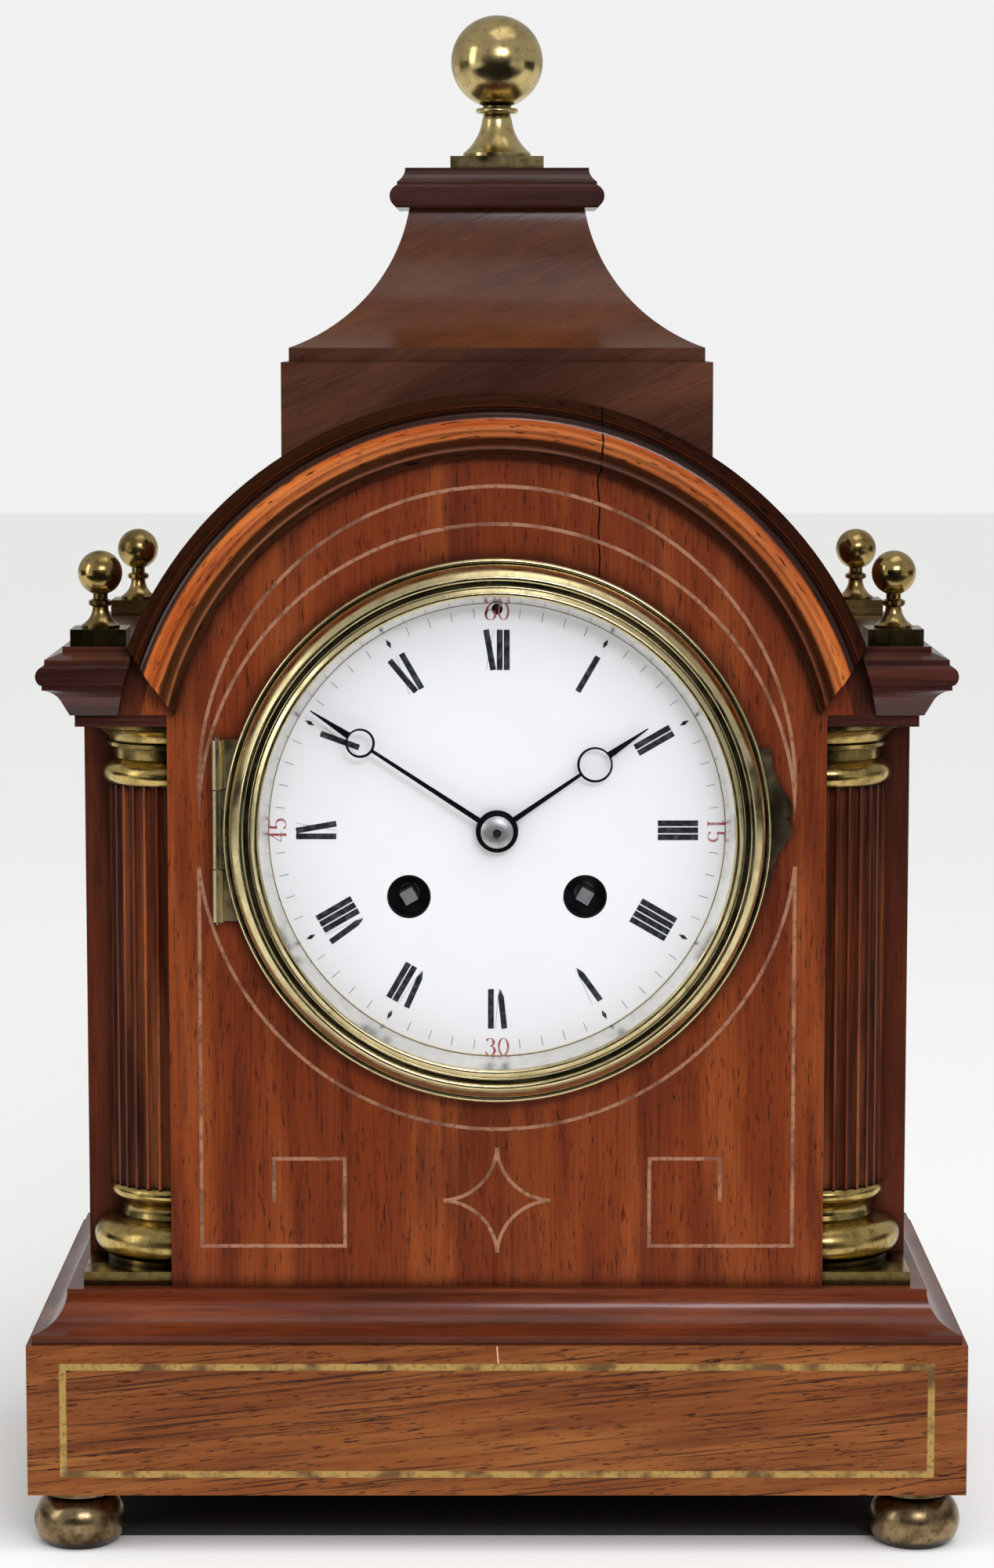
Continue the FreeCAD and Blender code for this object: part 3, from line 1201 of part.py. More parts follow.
def make_suspension():
    """The cock on the back plate that holds the spring, and the regulator arbor from the dial."""
    body = new_body("suspension_cock")
    foot = new_sketch(body, "XZ_Plane", "foot", -depth(48.5))
    outline(foot, [(-9, 43.4), (9, 43.4), (9, 45), (6, 47.5), (6, 64), (-6, 64), (-6, 47.5), (-9, 45)])
    pad(body, foot, 2.2, reverse=True)
    arm = new_sketch(body, "XZ_Plane", "arm", -depth(50.7))
    rectangle(arm, -5, 44.4, 5, 50)
    pad(body, arm, 8, reverse=True)
    lug = new_sketch(body, "XZ_Plane", "lug", -depth(54.4))
    rectangle(lug, -4, dim.anchor_z - 2.4, 4, 45)
    pad(body, lug, 3.2, reverse=True)
    seat = new_sketch(body, "XZ_Plane", "spring_seat", -depth(54.4))
    ring(seat, 0, dim.anchor_z, dim.pendulum_head + dim.running)
    pocket(body, seat, 3.2)
    slot = new_sketch(body, "XZ_Plane", "spring_slot", -depth(54.4))
    rectangle(slot, -0.6, dim.anchor_z - 3, 0.6, dim.anchor_z)
    pocket(body, slot, 3.2)
    hole = new_sketch(body, "XZ_Plane", "regulator_bore")
    ring(hole, 0, dim.regulator_z, 0.9 + dim.running)
    pocket(body, hole)
    keep(place(body, z=zc))
    spindle = arbor("regulator_arbor", (0.0, dim.regulator_z.value), 0.0)
    rod(spindle, "shape", [(depth(3), 0.9), (depth(53), 0.9)])
    square = new_sketch(spindle, "XZ_Plane", "square", -depth(0.6))
    rectangle(square, -0.6, -0.6, 0.6, 0.6)
    pad(spindle, square, 2.6, reverse=True)
    wheel = new_sketch(spindle, "XZ_Plane", "worm", -depth(51.2))
    ring(wheel, 0, 0, 2.4)
    pad(spindle, wheel, 1.6, reverse=True)


def make_strike_train(spots, turn):
    body = arbor("strike_second_wheel", spots["strike_second"], turn["strike_second"])
    rod(body, "shape", [(depth(14.6), 1.2), (depth(48), 1.2)])
    toothed(body, "pinion", dim.barrel_pinion, dim.module_large, depth(18.4), 2.4)
    toothed(body, "wheel", dim.strike_teeth, dim.module_large, depth(42.4), 1.2, 5, 3.0)

    body = arbor("pin_wheel", spots["pin"], turn["pin"])
    rod(body, "shape", [(depth(14.6), 1.0), (depth(48), 1.0)])
    toothed(body, "pinion", dim.leaves, dim.module_large, depth(41.8), 2.4)
    toothed(body, "wheel", dim.third_teeth, dim.module_small, depth(30), 0.9, 4, 2.6)
    pins = new_sketch(body, "XZ_Plane", "pins", -depth(30.9))
    ring(pins, 0, 9.9, 0.4)
    lifting = pad(body, pins, 2.2, reverse=True)
    polar(body, [lifting], pins, 8)

    body = arbor("fly", spots["fly"], turn["fly"])
    rod(body, "shape", [(depth(14.6), 0.9), (depth(48), 0.9)])
    toothed(body, "pinion", dim.leaves, dim.module_small, depth(29.4), 2.2)
    vane = new_sketch(body, "XZ_Plane", "vane", -depth(18))
    rectangle(vane, -4.6, -0.25, 4.6, 0.25)
    pad(body, vane, 9, reverse=True)


def make_hammer_and_bell(spots):
    body = new_body("hammer")
    rod(body, "arbor", [(depth(14.6), 1.2), (depth(69), 1.2)])
    reach = 23.8
    arm = new_sketch(body, "XZ_Plane", "arm", -depth(66))
    outline(arm, [(-2.4, -2.4), (2.4, -2.4), (3.6, reach), (2.4, reach + 0.4)])
    pad(body, arm, 2, reverse=True)
    head = new_sketch(body, "XZ_Plane", "head", -depth(63.5))
    ring(head, 3.0, reach - 0.2, 3.0)
    pad(body, head, 7, reverse=True)
    tail = new_sketch(body, "XZ_Plane", "tail", -depth(31.6))
    outline(tail, [(-1.6, 1.4), (-1.0, -1.8), (8.4, 4.2), (7.8, 5.4)])
    pad(body, tail, 1.4, reverse=True)
    keep(place(body, spots["hammer"][0], 0, zc + spots["hammer"][1]))

    rim, mouth, wall = dim.bell_radius, depth(63), 1.2
    body = new_body("bell")
    profile = new_sketch(body, "XY_Plane", "profile")
    outline(profile, [(rim - wall, mouth), (rim, mouth), (rim - 0.6, mouth + 5, 25), (rim - 14, mouth + 19),
                      (2.0, mouth + 20.6), (2.0, mouth + 19.4), (rim - 14.4, mouth + 17.8, -23.4),
                      (rim - 0.6 - wall, mouth + 5)])
    revolve(body, profile)
    keep(place(body, dim.bell_x, 0, zc + dim.bell_z))
    post = new_body("bell_post")
    rod(post, "shape", [(depth(48.5), 3.2), (depth(51), 2.4), (mouth + 19.4, 1.95), (mouth + 20.6, 1.95),
                        (mouth + 23, 1.95)])
    nut = new_sketch(post, "XZ_Plane", "nut", -mouth - 20.6)
    ring(nut, 0, 0, 3.4)
    pad(post, nut, 2.2, reverse=True)
    keep(place(post, dim.bell_x, 0, zc + dim.bell_z))


# ---------------------------------------------------------------- the whole clock

def build():
    make_feet()
    make_base()
    make_side_panels()
    make_front_panel()
    make_back_board()
    make_roof()
    make_arch_moulding()
    make_cornices()
    make_columns()
    make_caddy()
    make_finials()
    make_dial_flange()
    make_bezel()
    make_hinge_pins()
    make_dial()
    make_hands()
    spots = layout()
    turn = turns(spots)
    make_plates(spots)
    make_fixings()
    make_rear_ring_and_door()
    make_barrel("going_barrel", "going_winding_arbor", spots["going"], turn["going"])
    make_barrel("strike_barrel", "strike_winding_arbor", spots["strike"], turn["strike"])
    make_going_train(spots, turn)
    make_anchor(spots)
    make_pendulum()
    make_suspension()
    make_strike_train(spots, turn)
    make_hammer_and_bell(spots)


def check():
    """Stops with a list of everything that failed to build."""
    doc.recompute()
    faults = [thing.Name for thing in doc.Objects if set(thing.State) & {"Invalid", "Error"}]
    for part in parts:
        shape = part.Shape
        if shape.isNull() or not shape.isValid() or not shape.Solids:
            faults.append(part.Label + " has no valid solid")
    if faults:
        raise RuntimeError("failed: " + ", ".join(faults))


def write():
    os.makedirs("parts", exist_ok=True)
    for part in parts:
        part.Shape.exportStep("parts/%s.step" % part.Label)
    print("%d sub-parts written" % len(parts))


build()
check()
write()
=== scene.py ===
import math

import bpy
import numpy as np
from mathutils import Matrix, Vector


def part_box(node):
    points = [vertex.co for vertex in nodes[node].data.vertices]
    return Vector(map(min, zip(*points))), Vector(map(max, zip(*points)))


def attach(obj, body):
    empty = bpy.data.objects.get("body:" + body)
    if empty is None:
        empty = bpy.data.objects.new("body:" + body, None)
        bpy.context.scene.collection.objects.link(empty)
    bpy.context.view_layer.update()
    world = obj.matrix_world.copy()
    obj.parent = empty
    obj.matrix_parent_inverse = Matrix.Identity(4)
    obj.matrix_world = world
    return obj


# bracket clock: mahogany case, brass mounts, enamel dial, blued steel hands
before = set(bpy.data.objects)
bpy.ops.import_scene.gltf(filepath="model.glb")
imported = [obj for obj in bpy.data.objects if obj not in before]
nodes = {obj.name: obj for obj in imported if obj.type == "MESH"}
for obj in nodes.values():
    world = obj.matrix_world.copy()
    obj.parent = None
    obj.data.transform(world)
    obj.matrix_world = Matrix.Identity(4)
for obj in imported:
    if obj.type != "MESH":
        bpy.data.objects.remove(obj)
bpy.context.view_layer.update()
mm = 0.001
print("frame loaded:", len(nodes), "nodes")

# places taken from the frame
dialLow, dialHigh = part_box("enamel_dial")
dialX = (dialLow[0] + dialHigh[0]) / 2
dialZ = (dialLow[2] + dialHigh[2]) / 2
dialFaceY = dialLow[1]
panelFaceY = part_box("front_panel")[0][1]
archZ = 211 * mm                      # centre of the arch above the ground
archRadius = 98 * mm                  # middle of its moulding
creaseAngle = 40                      # edges sharper than this stay sharp, in degrees


def linear(hexColour):
    # sRGB hex to the linear colour that shaders work in
    channels = [int(hexColour[k:k + 2], 16) / 255 for k in (1, 3, 5)]
    return tuple(c / 12.92 if c <= 0.04045 else ((c + 0.055) / 1.055) ** 2.4
                 for c in channels) + (1.0,)


def grey(value):
    return (value, value, value, 1.0)


def addNode(material, kind, settings=None, links=None):
    # one node with its settings and links; a key is a socket's name or number, or one of the
    # node's own properties, and "stops" are the places and colours of a colour ramp
    tree = material.node_tree
    node = tree.nodes.new(kind)
    for key, value in (settings or {}).items():
        if key == "stops":
            elements = node.color_ramp.elements
            for stop, (place, colour) in enumerate(value):
                element = elements[stop] if stop < 2 else elements.new(place)
                element.position = place
                element.color = colour
        elif isinstance(key, int) or key in node.inputs:
            node.inputs[key].default_value = value
        else:
            setattr(node, key, value)
    for key, source in (links or {}).items():
        tree.links.new(source, node.inputs[key])
    return node


def newMaterial(name):
    material = bpy.data.materials.new(name)
    material.use_nodes = True
    material.node_tree.nodes.clear()
    return material


def joinMeshes(parts):
    # stacks (points, faces) pairs into one
    points, faces, start = [], [], 0
    for some, quads in parts:
        points.append(some)
        faces.append(np.asarray(quads) + start)
        start += len(some)
    return np.vstack(points), np.vstack(faces)


def addPiece(name, points, faces, material, body, slot=None, smooth=False):
    # puts points (in metres) and quads into a mesh and lets it ride on a body
    mesh = bpy.data.meshes.new(name)
    mesh.from_pydata(points.tolist(), [], faces.tolist())
    mesh.polygons.foreach_set("use_smooth", np.full(len(faces), smooth))
    if smooth:
        mesh.set_sharp_from_angle(angle=math.radians(creaseAngle))
    mesh.materials.append(material)
    mesh.validate()
    piece = bpy.data.objects.new(name, mesh)
    bpy.context.scene.collection.objects.link(piece)
    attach(piece, body)
    return piece


# French polished mahogany: a hardwood sawn, scraped and polished with shellac. It gives a warm red
# brown with darker ribbon stripes along the fibres, short dark pores, and a gloss that keeps a
# soft, slightly wavy reflection. "ribbon" is a stripe's width and "reach" how far the darkening of
# corners spreads, both in millimetres; "streaks", "pores", the darkening of corners and "shine"
# are shares. That darkening is painted shade, partly also dirt and old polish in the corners
mahogany = {
    "panel": {"fibre": "z", "ground": "#6c2b0c", "dark": "#4b1806", "light": "#88421a",
              "ribbon": 13, "streaks": 0.2, "pores": 0.75, "rough": 0.36, "shine": 0.05,
              "shadeAndGrime": 0.75, "reach": 5},
    "side": {"fibre": "z", "ground": "#4b1e0d", "dark": "#2e1007", "light": "#652e16",
             "ribbon": 15, "streaks": 0.2, "pores": 0.5, "rough": 0.36, "shine": 0.05,
             "shadeAndGrime": 0.6, "reach": 5},
    "column": {"fibre": "z", "ground": "#55220d", "dark": "#230a04", "light": "#9b542d",
               "ribbon": 6, "streaks": 0.3, "pores": 0.5, "rough": 0.34, "shine": 0.15,
               "shadeAndGrime": 1.4, "reach": 2.6},
    "base": {"fibre": "x", "tilt": 6, "ground": "#784119", "dark": "#5a290d", "light": "#91592a",
             "ribbon": 9, "streaks": 0.85, "pores": 0.9, "rough": 0.42, "shine": 0.04,
             "shadeAndGrime": 0.5, "reach": 4},
    "cove": {"fibre": "x", "ground": "#5a240d", "dark": "#381407", "light": "#73371b",
             "ribbon": 8, "streaks": 0.4, "pores": 0.4, "rough": 0.26, "shine": 0.3,
             "shadeAndGrime": 0.8, "reach": 6},
    "arch": {"fibre": "arc", "ground": "#a9501d", "dark": "#7a2f0c", "light": "#c87438",
             "ribbon": 5, "streaks": 0.2, "pores": 0.9, "rough": 0.28, "shine": 0.3,
             "shadeAndGrime": 0.9, "reach": 3},
    "cornice": {"fibre": "x", "ground": "#371a15", "dark": "#1d0d0c", "light": "#51291f",
                "ribbon": 6, "streaks": 0.3, "pores": 0.4, "rough": 0.26, "shine": 0.45,
                "shadeAndGrime": 0.9, "reach": 4},
    "caddy": {"fibre": "x", "tilt": 24, "ground": "#45271b", "dark": "#2d170f",
              "light": "#5d3827", "ribbon": 20, "streaks": 0.1, "pores": 0.35, "rough": 0.28,
              "shine": 0.15, "shadeAndGrime": 0.5, "reach": 4},
    "bell": {"fibre": "x", "tilt": 24, "ground": "#4c2815", "dark": "#36190d",
             "light": "#63391f", "ribbon": 22, "streaks": 0.1, "pores": 0.35, "rough": 0.26,
             "shine": 0.22, "shadeAndGrime": 0.5, "reach": 4},
    "cap": {"fibre": "x", "ground": "#2b1817", "dark": "#190e0e", "light": "#3e2420",
            "ribbon": 12, "streaks": 0.1, "pores": 0.3, "rough": 0.24, "shine": 0.4,
            "shadeAndGrime": 0.6, "reach": 3},
}
# plain oak inside the case, planed and waxed long ago
oak = {"fibre": "z", "ground": "#8f6b44", "dark": "#775534", "light": "#a4845a", "ribbon": 14,
       "streaks": 0.3, "pores": 0.6, "rough": 0.6, "shine": 0.0, "shadeAndGrime": 0.6, "reach": 5}

# marks that every board has, and the colour of its darkened corners: painted shade, partly also
# dirt
woodMarks = {"streak": "#2e1409", "pore": "#260d05", "shadeAndDirt": "#170906"}

# how dark each member of the arch is: millimetres from the arch's centre, and the share of wood
# colour left. It is painted shade in the coves and fillets, partly also dark old polish; only the
# fat half round keeps the bright wood colour
archShadeAndPolish = [(89.0, 0.10), (91.8, 0.06), (92.3, 0.5), (92.8, 0.12), (94.9, 0.10), (95.7, 1.0),
               (100.0, 1.0), (100.6, 0.05), (102.7, 0.05), (103.3, 0.5), (103.9, 0.06),
               (107.5, 0.04)]

# cracks: where they run upwards, how wide they are and how far they wander, in millimetres
cracks = {
    "panel": {"x": 27.6, "bottom": 262, "top": 320, "width": 0.45, "wander": 1.1,
              "colour": "#0c0503"},
    "arch": {"x": 28.2, "bottom": 262, "top": 320, "width": 0.5, "wander": 1.1,
             "colour": "#080302"},
    "base": {"x": 0.2, "bottom": 53.6, "top": 58.4, "width": 0.35, "wander": 2.0,
             "colour": "#c9a88c"},
}


def millimetres(material):
    # the place of a point in millimetres
    place = addNode(material, "ShaderNodeTexCoord").outputs["Object"]
    return addNode(material, "ShaderNodeMapping", {"Scale": (1000, 1000, 1000)},
                   {"Vector": place}).outputs[0]


def fibreSpace(material, fibre, tilt=0):
    # the place in millimetres with x across the fibres, y into the wood and z along the fibres,
    # tilted where the board was sawn at a slant, in degrees; on the arch that is distance from
    # the arch's centre, depth, and length of arc
    if fibre == "z":
        return millimetres(material)
    place = addNode(material, "ShaderNodeTexCoord").outputs["Object"]
    x, y, z = addNode(material, "ShaderNodeSeparateXYZ", {}, {0: place}).outputs
    if fibre == "x":
        turned = addNode(material, "ShaderNodeCombineXYZ", {}, {"X": z, "Y": y, "Z": x})
    else:
        rise = addNode(material, "ShaderNodeMath", {"operation": "SUBTRACT", 1: archZ}, {0: z})
        swing = addNode(material, "ShaderNodeMath", {"operation": "ARCTAN2"},
                        {0: x, 1: rise.outputs[0]})
        arc = addNode(material, "ShaderNodeMath", {"operation": "MULTIPLY", 1: archRadius},
                      {0: swing.outputs[0]})
        flat = addNode(material, "ShaderNodeCombineXYZ", {}, {"X": x, "Z": rise.outputs[0]})
        reach = addNode(material, "ShaderNodeVectorMath", {"operation": "LENGTH"},
                        {0: flat.outputs[0]})
        turned = addNode(material, "ShaderNodeCombineXYZ", {},
                         {"X": reach.outputs["Value"], "Y": y, "Z": arc.outputs[0]})
    return addNode(material, "ShaderNodeMapping",
                   {"Scale": (1000, 1000, 1000), "Rotation": (0, math.radians(-tilt), 0)},
                   {"Vector": turned.outputs[0]}).outputs[0]


def layColours(material, space, ground, layers):
    # lays colours over a ground, each through its own noise: "size" is how large its marks are
    # in millimetres along each axis, it begins to show where the noise passes "clear", and from
    # "full" on it covers by "cover". Gives the colour and each layer's noise by its name
    colour, noises = ground, {}
    for name, size, clear, full, cover, paint in layers:
        spread = addNode(material, "ShaderNodeMapping", {"Scale": [1 / length for length in size]},
                         {"Vector": space})
        noise = addNode(material, "ShaderNodeTexNoise",
                        {"Scale": 1.0, "Detail": 3.0, "Roughness": 0.5},
                        {"Vector": spread.outputs[0]})
        share = addNode(material, "ShaderNodeMapRange",
                        {"From Min": clear, "From Max": full, "To Min": 0.0, "To Max": cover},
                        {"Value": noise.outputs["Fac"]})
        settings = {"data_type": "RGBA", 7: linear(paint)}
        links = {0: share.outputs[0]}
        if isinstance(colour, tuple):
            settings[6] = colour
        else:
            links[6] = colour
        colour = addNode(material, "ShaderNodeMix", settings, links).outputs[2]
        noises[name] = noise.outputs["Fac"]
    return colour, noises


def shadeAndSoilCorners(material, colour, reach, amount, shadeAndDirt):
    # darkens corners and hollows within this reach, in millimetres, by how closed in they are:
    # painted shade, partly also the dirt and old polish that gather there
    corner = addNode(material, "ShaderNodeAmbientOcclusion",
                     {"samples": 8, "Distance": reach * mm})
    share = addNode(material, "ShaderNodeMapRange",
                    {"From Min": 0.92, "From Max": 0.40, "To Min": 0.0, "To Max": amount},
                    {"Value": corner.outputs["AO"]})
    return addNode(material, "ShaderNodeMix", {"data_type": "RGBA", 7: linear(shadeAndDirt)},
                   {0: share.outputs[0], 6: colour}).outputs[2]


def drawCrack(material, colour, crack):
    # a thin upright line on the front: it drifts sideways with height, by a noise with one wave
    # in about 11 mm, and shows where a point is close to it, between its ends and on the face
    place = addNode(material, "ShaderNodeTexCoord").outputs["Object"]
    x, y, z = addNode(material, "ShaderNodeSeparateXYZ", {}, {0: place}).outputs
    drift = addNode(material, "ShaderNodeTexNoise",
                    {"noise_dimensions": "1D", "Scale": 90.0, "Detail": 2.0}, {"W": z})
    wander = crack["wander"]
    line = addNode(material, "ShaderNodeMath",
                   {"operation": "MULTIPLY_ADD", 1: wander * mm, 2: (crack["x"] - wander / 2) * mm},
                   {0: drift.outputs["Fac"]})
    aside = addNode(material, "ShaderNodeMath", {"operation": "SUBTRACT"},
                    {0: x, 1: line.outputs[0]})
    near = addNode(material, "ShaderNodeMath",
                   {"operation": "COMPARE", 1: 0.0, 2: crack["width"] / 2 * mm},
                   {0: aside.outputs[0]})
    middle = (crack["bottom"] + crack["top"]) / 2
    half = (crack["top"] - crack["bottom"]) / 2
    tall = addNode(material, "ShaderNodeMath",
                   {"operation": "COMPARE", 1: middle * mm, 2: half * mm}, {0: z})
    front = addNode(material, "ShaderNodeMath",
                    {"operation": "LESS_THAN", 1: panelFaceY + 1 * mm}, {0: y})
    both = addNode(material, "ShaderNodeMath", {"operation": "MULTIPLY"},
                   {0: near.outputs[0], 1: tall.outputs[0]})
    inside = addNode(material, "ShaderNodeMath", {"operation": "MULTIPLY"},
                     {0: both.outputs[0], 1: front.outputs[0]})
    return addNode(material, "ShaderNodeMix", {"data_type": "RGBA", 7: linear(crack["colour"])},
                   {0: inside.outputs[0], 6: colour}).outputs[2]


def shadeAndPolishMembers(material, colour, space):
    # darkens the arch by its distance from the centre, member by member: painted shade, partly also
    # dark old polish
    low, high = archShadeAndPolish[0][0], archShadeAndPolish[-1][0]
    reach = addNode(material, "ShaderNodeSeparateXYZ", {}, {0: space}).outputs[0]
    share = addNode(material, "ShaderNodeMapRange", {"From Min": low, "From Max": high},
                    {"Value": reach})
    stops = [((radius - low) / (high - low), grey(left)) for radius, left in archShadeAndPolish]
    stops = stops[:1] + stops[-1:] + stops[1:-1]
    left = addNode(material, "ShaderNodeValToRGB", {"stops": stops}, {"Fac": share.outputs[0]})
    return addNode(material, "ShaderNodeMix",
                   {"data_type": "RGBA", "blend_type": "MULTIPLY", 0: 1.0},
                   {6: colour, 7: left.outputs["Color"]}).outputs[2]


def woodMaterial(name, look, crack=None):
    material = newMaterial(name)
    space = fibreSpace(material, look["fibre"], look.get("tilt", 0))
    wide, rough = look["ribbon"], look["rough"]
    # from wide to fine: soft patches, light and dark ribbons, fibres, growth streaks about 0.6 mm
    # wide, and pores about 0.3 mm wide and 4 mm long, drawn a little wider so that they show
    colour, noises = layColours(material, space, linear(look["ground"]), [
        ("patches", (34, 50, 60), 0.46, 0.68, 0.5, look["dark"]),
        ("lightRibbons", (wide, 40, 110), 0.47, 0.66, 0.85, look["light"]),
        ("darkRibbons", (wide * 0.5, 30, 75), 0.50, 0.68, 0.75, look["dark"]),
        ("fibres", (0.9, 0.9, 28), 0.46, 0.80, 0.45, look["dark"]),
        ("sheen", (0.7, 0.9, 20), 0.46, 0.80, 0.30, look["light"]),
        ("streaks", (0.62, 2.4, 34), 0.565, 0.66, look["streaks"], woodMarks["streak"]),
        ("pores", (0.50, 0.7, 4.5), 0.60, 0.68, look["pores"], woodMarks["pore"]),
    ])
    if look["fibre"] == "arc":
        # painted shade on the arch's coves and fillets, partly also dark old polish
        colour = shadeAndPolishMembers(material, colour, space)
    # corners and hollows darkened: painted shade, partly also dirt and old polish
    colour = shadeAndSoilCorners(material, colour, look["reach"], look["shadeAndGrime"], woodMarks["shadeAndDirt"])
    if crack:
        colour = drawCrack(material, colour, crack)
    roughness = addNode(material, "ShaderNodeMapRange",
                        {"To Min": rough - 0.08, "To Max": rough + 0.10},
                        {"Value": noises["darkRibbons"]}).outputs[0]
    dents = addNode(material, "ShaderNodeBump", {"Strength": 0.12, "Distance": 0.15 * mm},
                    {"Height": noises["pores"]})
    skin = addNode(material, "ShaderNodeBump", {"Strength": 0.08, "Distance": 0.3 * mm},
                   {"Height": noises["fibres"]})
    shader = addNode(material, "ShaderNodeBsdfPrincipled",
                     {"IOR": 1.5, "Coat Weight": look["shine"], "Coat Roughness": 0.12,
                      "Coat IOR": 1.52, "Specular IOR Level": 0.15},
                     {"Base Color": colour, "Roughness": roughness, "Normal": dents.outputs[0],
                      "Coat Normal": skin.outputs[0]})
    addNode(material, "ShaderNodeOutputMaterial", {}, {"Surface": shader.outputs[0]})
    return material


# cast and turned brass, polished and years since lacquered: yellow with pale highlights, an olive
# tone where it has dulled, and brown black where fingers never rub. "corner" is how dark the
# corners and hollows turn and "reach" how far that spreads, in millimetres: painted shade, partly
# also dirt
brass = {
    "bezel": {"colour": "#dfcf9e", "dull": "#a08c57", "rough": 0.2, "tarnish": 0.35,
              "corner": 1.0, "reach": 1.4},
    "flange": {"colour": "#dfcf9e", "dull": "#c9b98a", "rough": 0.3, "tarnish": 0.2,
               "corner": 0.1, "reach": 1.0},
    "mounts": {"colour": "#c8ad6a", "dull": "#6f5a30", "rough": 0.20, "tarnish": 0.7,
               "corner": 1.0, "reach": 4.0},
    "ball": {"colour": "#cbb57c", "dull": "#83704a", "rough": 0.2, "tarnish": 0.5,
             "corner": 0.8, "reach": 1.5},
    "smallBalls": {"colour": "#b39a60", "dull": "#5d4826", "rough": 0.17, "tarnish": 0.85,
                   "corner": 0.9, "reach": 1.5},
    "feet": {"colour": "#9a8460", "dull": "#3f3120", "rough": 0.24, "tarnish": 0.95,
             "corner": 0.9, "reach": 4.0},
    "movement": {"colour": "#d2b26a", "dull": "#a88a4a", "rough": 0.3, "tarnish": 0.25,
                 "corner": 0.5, "reach": 2.0},
}
# marks that all of it has, and the colour of its darkened corners: painted shade, partly also dirt
brassMarks = {"stain": "#4b3719", "speck": "#2c1e0c", "shadeAndDirt": "#1d1308"}


def brassMaterial(name, look):
    material = newMaterial(name)
    tarnish, rough = look["tarnish"], look["rough"]
    colour, noises = layColours(material, millimetres(material), linear(look["colour"]), [
        ("dull", (7, 7, 7), 0.42, 0.68, tarnish, look["dull"]),
        ("stains", (2.2, 2.2, 2.2), 0.56, 0.72, tarnish * 0.8, brassMarks["stain"]),
        ("specks", (0.6, 0.6, 0.6), 0.62, 0.72, tarnish, brassMarks["speck"]),
    ])
    # corners and hollows darkened: painted shade, partly also dirt
    colour = shadeAndSoilCorners(material, colour, look["reach"], look["corner"], brassMarks["shadeAndDirt"])
    roughness = addNode(material, "ShaderNodeMapRange",
                        {"From Min": 0.3, "From Max": 0.7,
                         "To Min": rough - 0.06, "To Max": rough + 0.14},
                        {"Value": noises["dull"]}).outputs[0]
    rub = addNode(material, "ShaderNodeBump", {"Strength": 0.10, "Distance": 0.1 * mm},
                  {"Height": noises["stains"]})
    shader = addNode(material, "ShaderNodeBsdfPrincipled", {"Metallic": 1.0},
                     {"Base Color": colour, "Roughness": roughness, "Normal": rub.outputs[0]})
    addNode(material, "ShaderNodeOutputMaterial", {}, {"Surface": shader.outputs[0]})
    return material


# rolled brass wire let into the wood and rubbed down with it: scratched, dull, copper pink on the
# panel and yellow on the base, with stretches where polish has covered it
stringing = {
    "panel": {"colour": "#a9775a", "dark": "#5f3220", "covered": 0.6},
    "base": {"colour": "#a88848", "dark": "#5a3b1b", "covered": 0.9},
}


def stringingMaterial(name, look):
    material = newMaterial(name)
    colour = layColours(material, millimetres(material), linear(look["colour"]), [
        ("covered", (11, 11, 11), 0.50, 0.62, look["covered"], look["dark"]),
        ("scratches", (1.5, 1.5, 1.5), 0.52, 0.66, 0.6, look["dark"]),
    ])[0]
    shader = addNode(material, "ShaderNodeBsdfPrincipled", {"Metallic": 0.35, "Roughness": 0.45},
                     {"Base Color": colour})
    addNode(material, "ShaderNodeOutputMaterial", {}, {"Surface": shader.outputs[0]})
    return material


# other metals: the finish of each is its colour, that of its fine marks, its roughness, and the
# marks' size in millimetres
metals = {
    # hardened steel heated until it turns blue, then left as it is: nearly black, and blue where
    # it catches the light
    "bluedSteel": {"colour": "#454a58", "marked": "#2e3038", "rough": 0.26, "marks": 1.2},
    # turned and polished steel with a grey cast
    "polishedSteel": {"colour": "#bdb9b4", "marked": "#8d8a87", "rough": 0.2, "marks": 1.4},
    # the same steel worn matt by the hands and the winding key
    "wornSteel": {"colour": "#d6d4d6", "marked": "#a9a8aa", "rough": 0.42, "marks": 1.4},
    # brass silvered and burnished, which mirrors the dial beside it
    "silveredBrass": {"colour": "#e6e4de", "marked": "#d3d0c6", "rough": 0.2, "marks": 3.0},
    # cast bell metal, turned and rubbed bright
    "bellMetal": {"colour": "#c8b27a", "marked": "#93804f", "rough": 0.24, "marks": 2.5},
}


def metalMaterial(name, look):
    material = newMaterial(name)
    size, rough = look["marks"], look["rough"]
    colour, noises = layColours(material, millimetres(material), linear(look["colour"]), [
        ("marks", (size, size, size), 0.45, 0.75, 0.7, look["marked"]),
    ])
    roughness = addNode(material, "ShaderNodeMapRange",
                        {"To Min": rough - 0.05, "To Max": rough + 0.1},
                        {"Value": noises["marks"]}).outputs[0]
    shader = addNode(material, "ShaderNodeBsdfPrincipled", {"Metallic": 1.0},
                     {"Base Color": colour, "Roughness": roughness})
    addNode(material, "ShaderNodeOutputMaterial", {}, {"Surface": shader.outputs[0]})
    return material


def enamelMaterial(name, colour, flow):
    # vitreous enamel, fired on copper: glassy, opaque, and very slightly uneven where it flowed
    material = newMaterial(name)
    tone, noises = layColours(material, millimetres(material), linear(colour), [
        ("flow", (22, 22, 22), 0.4, 0.8, 0.5, flow),
    ])
    skin = addNode(material, "ShaderNodeBump", {"Strength": 0.05, "Distance": 0.2 * mm},
                   {"Height": noises["flow"]})
    shader = addNode(material, "ShaderNodeBsdfPrincipled",
                     {"IOR": 1.55, "Roughness": 0.16, "Coat Weight": 0.5, "Coat Roughness": 0.05},
                     {"Base Color": tone, "Normal": skin.outputs[0]})
    addNode(material, "ShaderNodeOutputMaterial", {}, {"Surface": shader.outputs[0]})
    return material


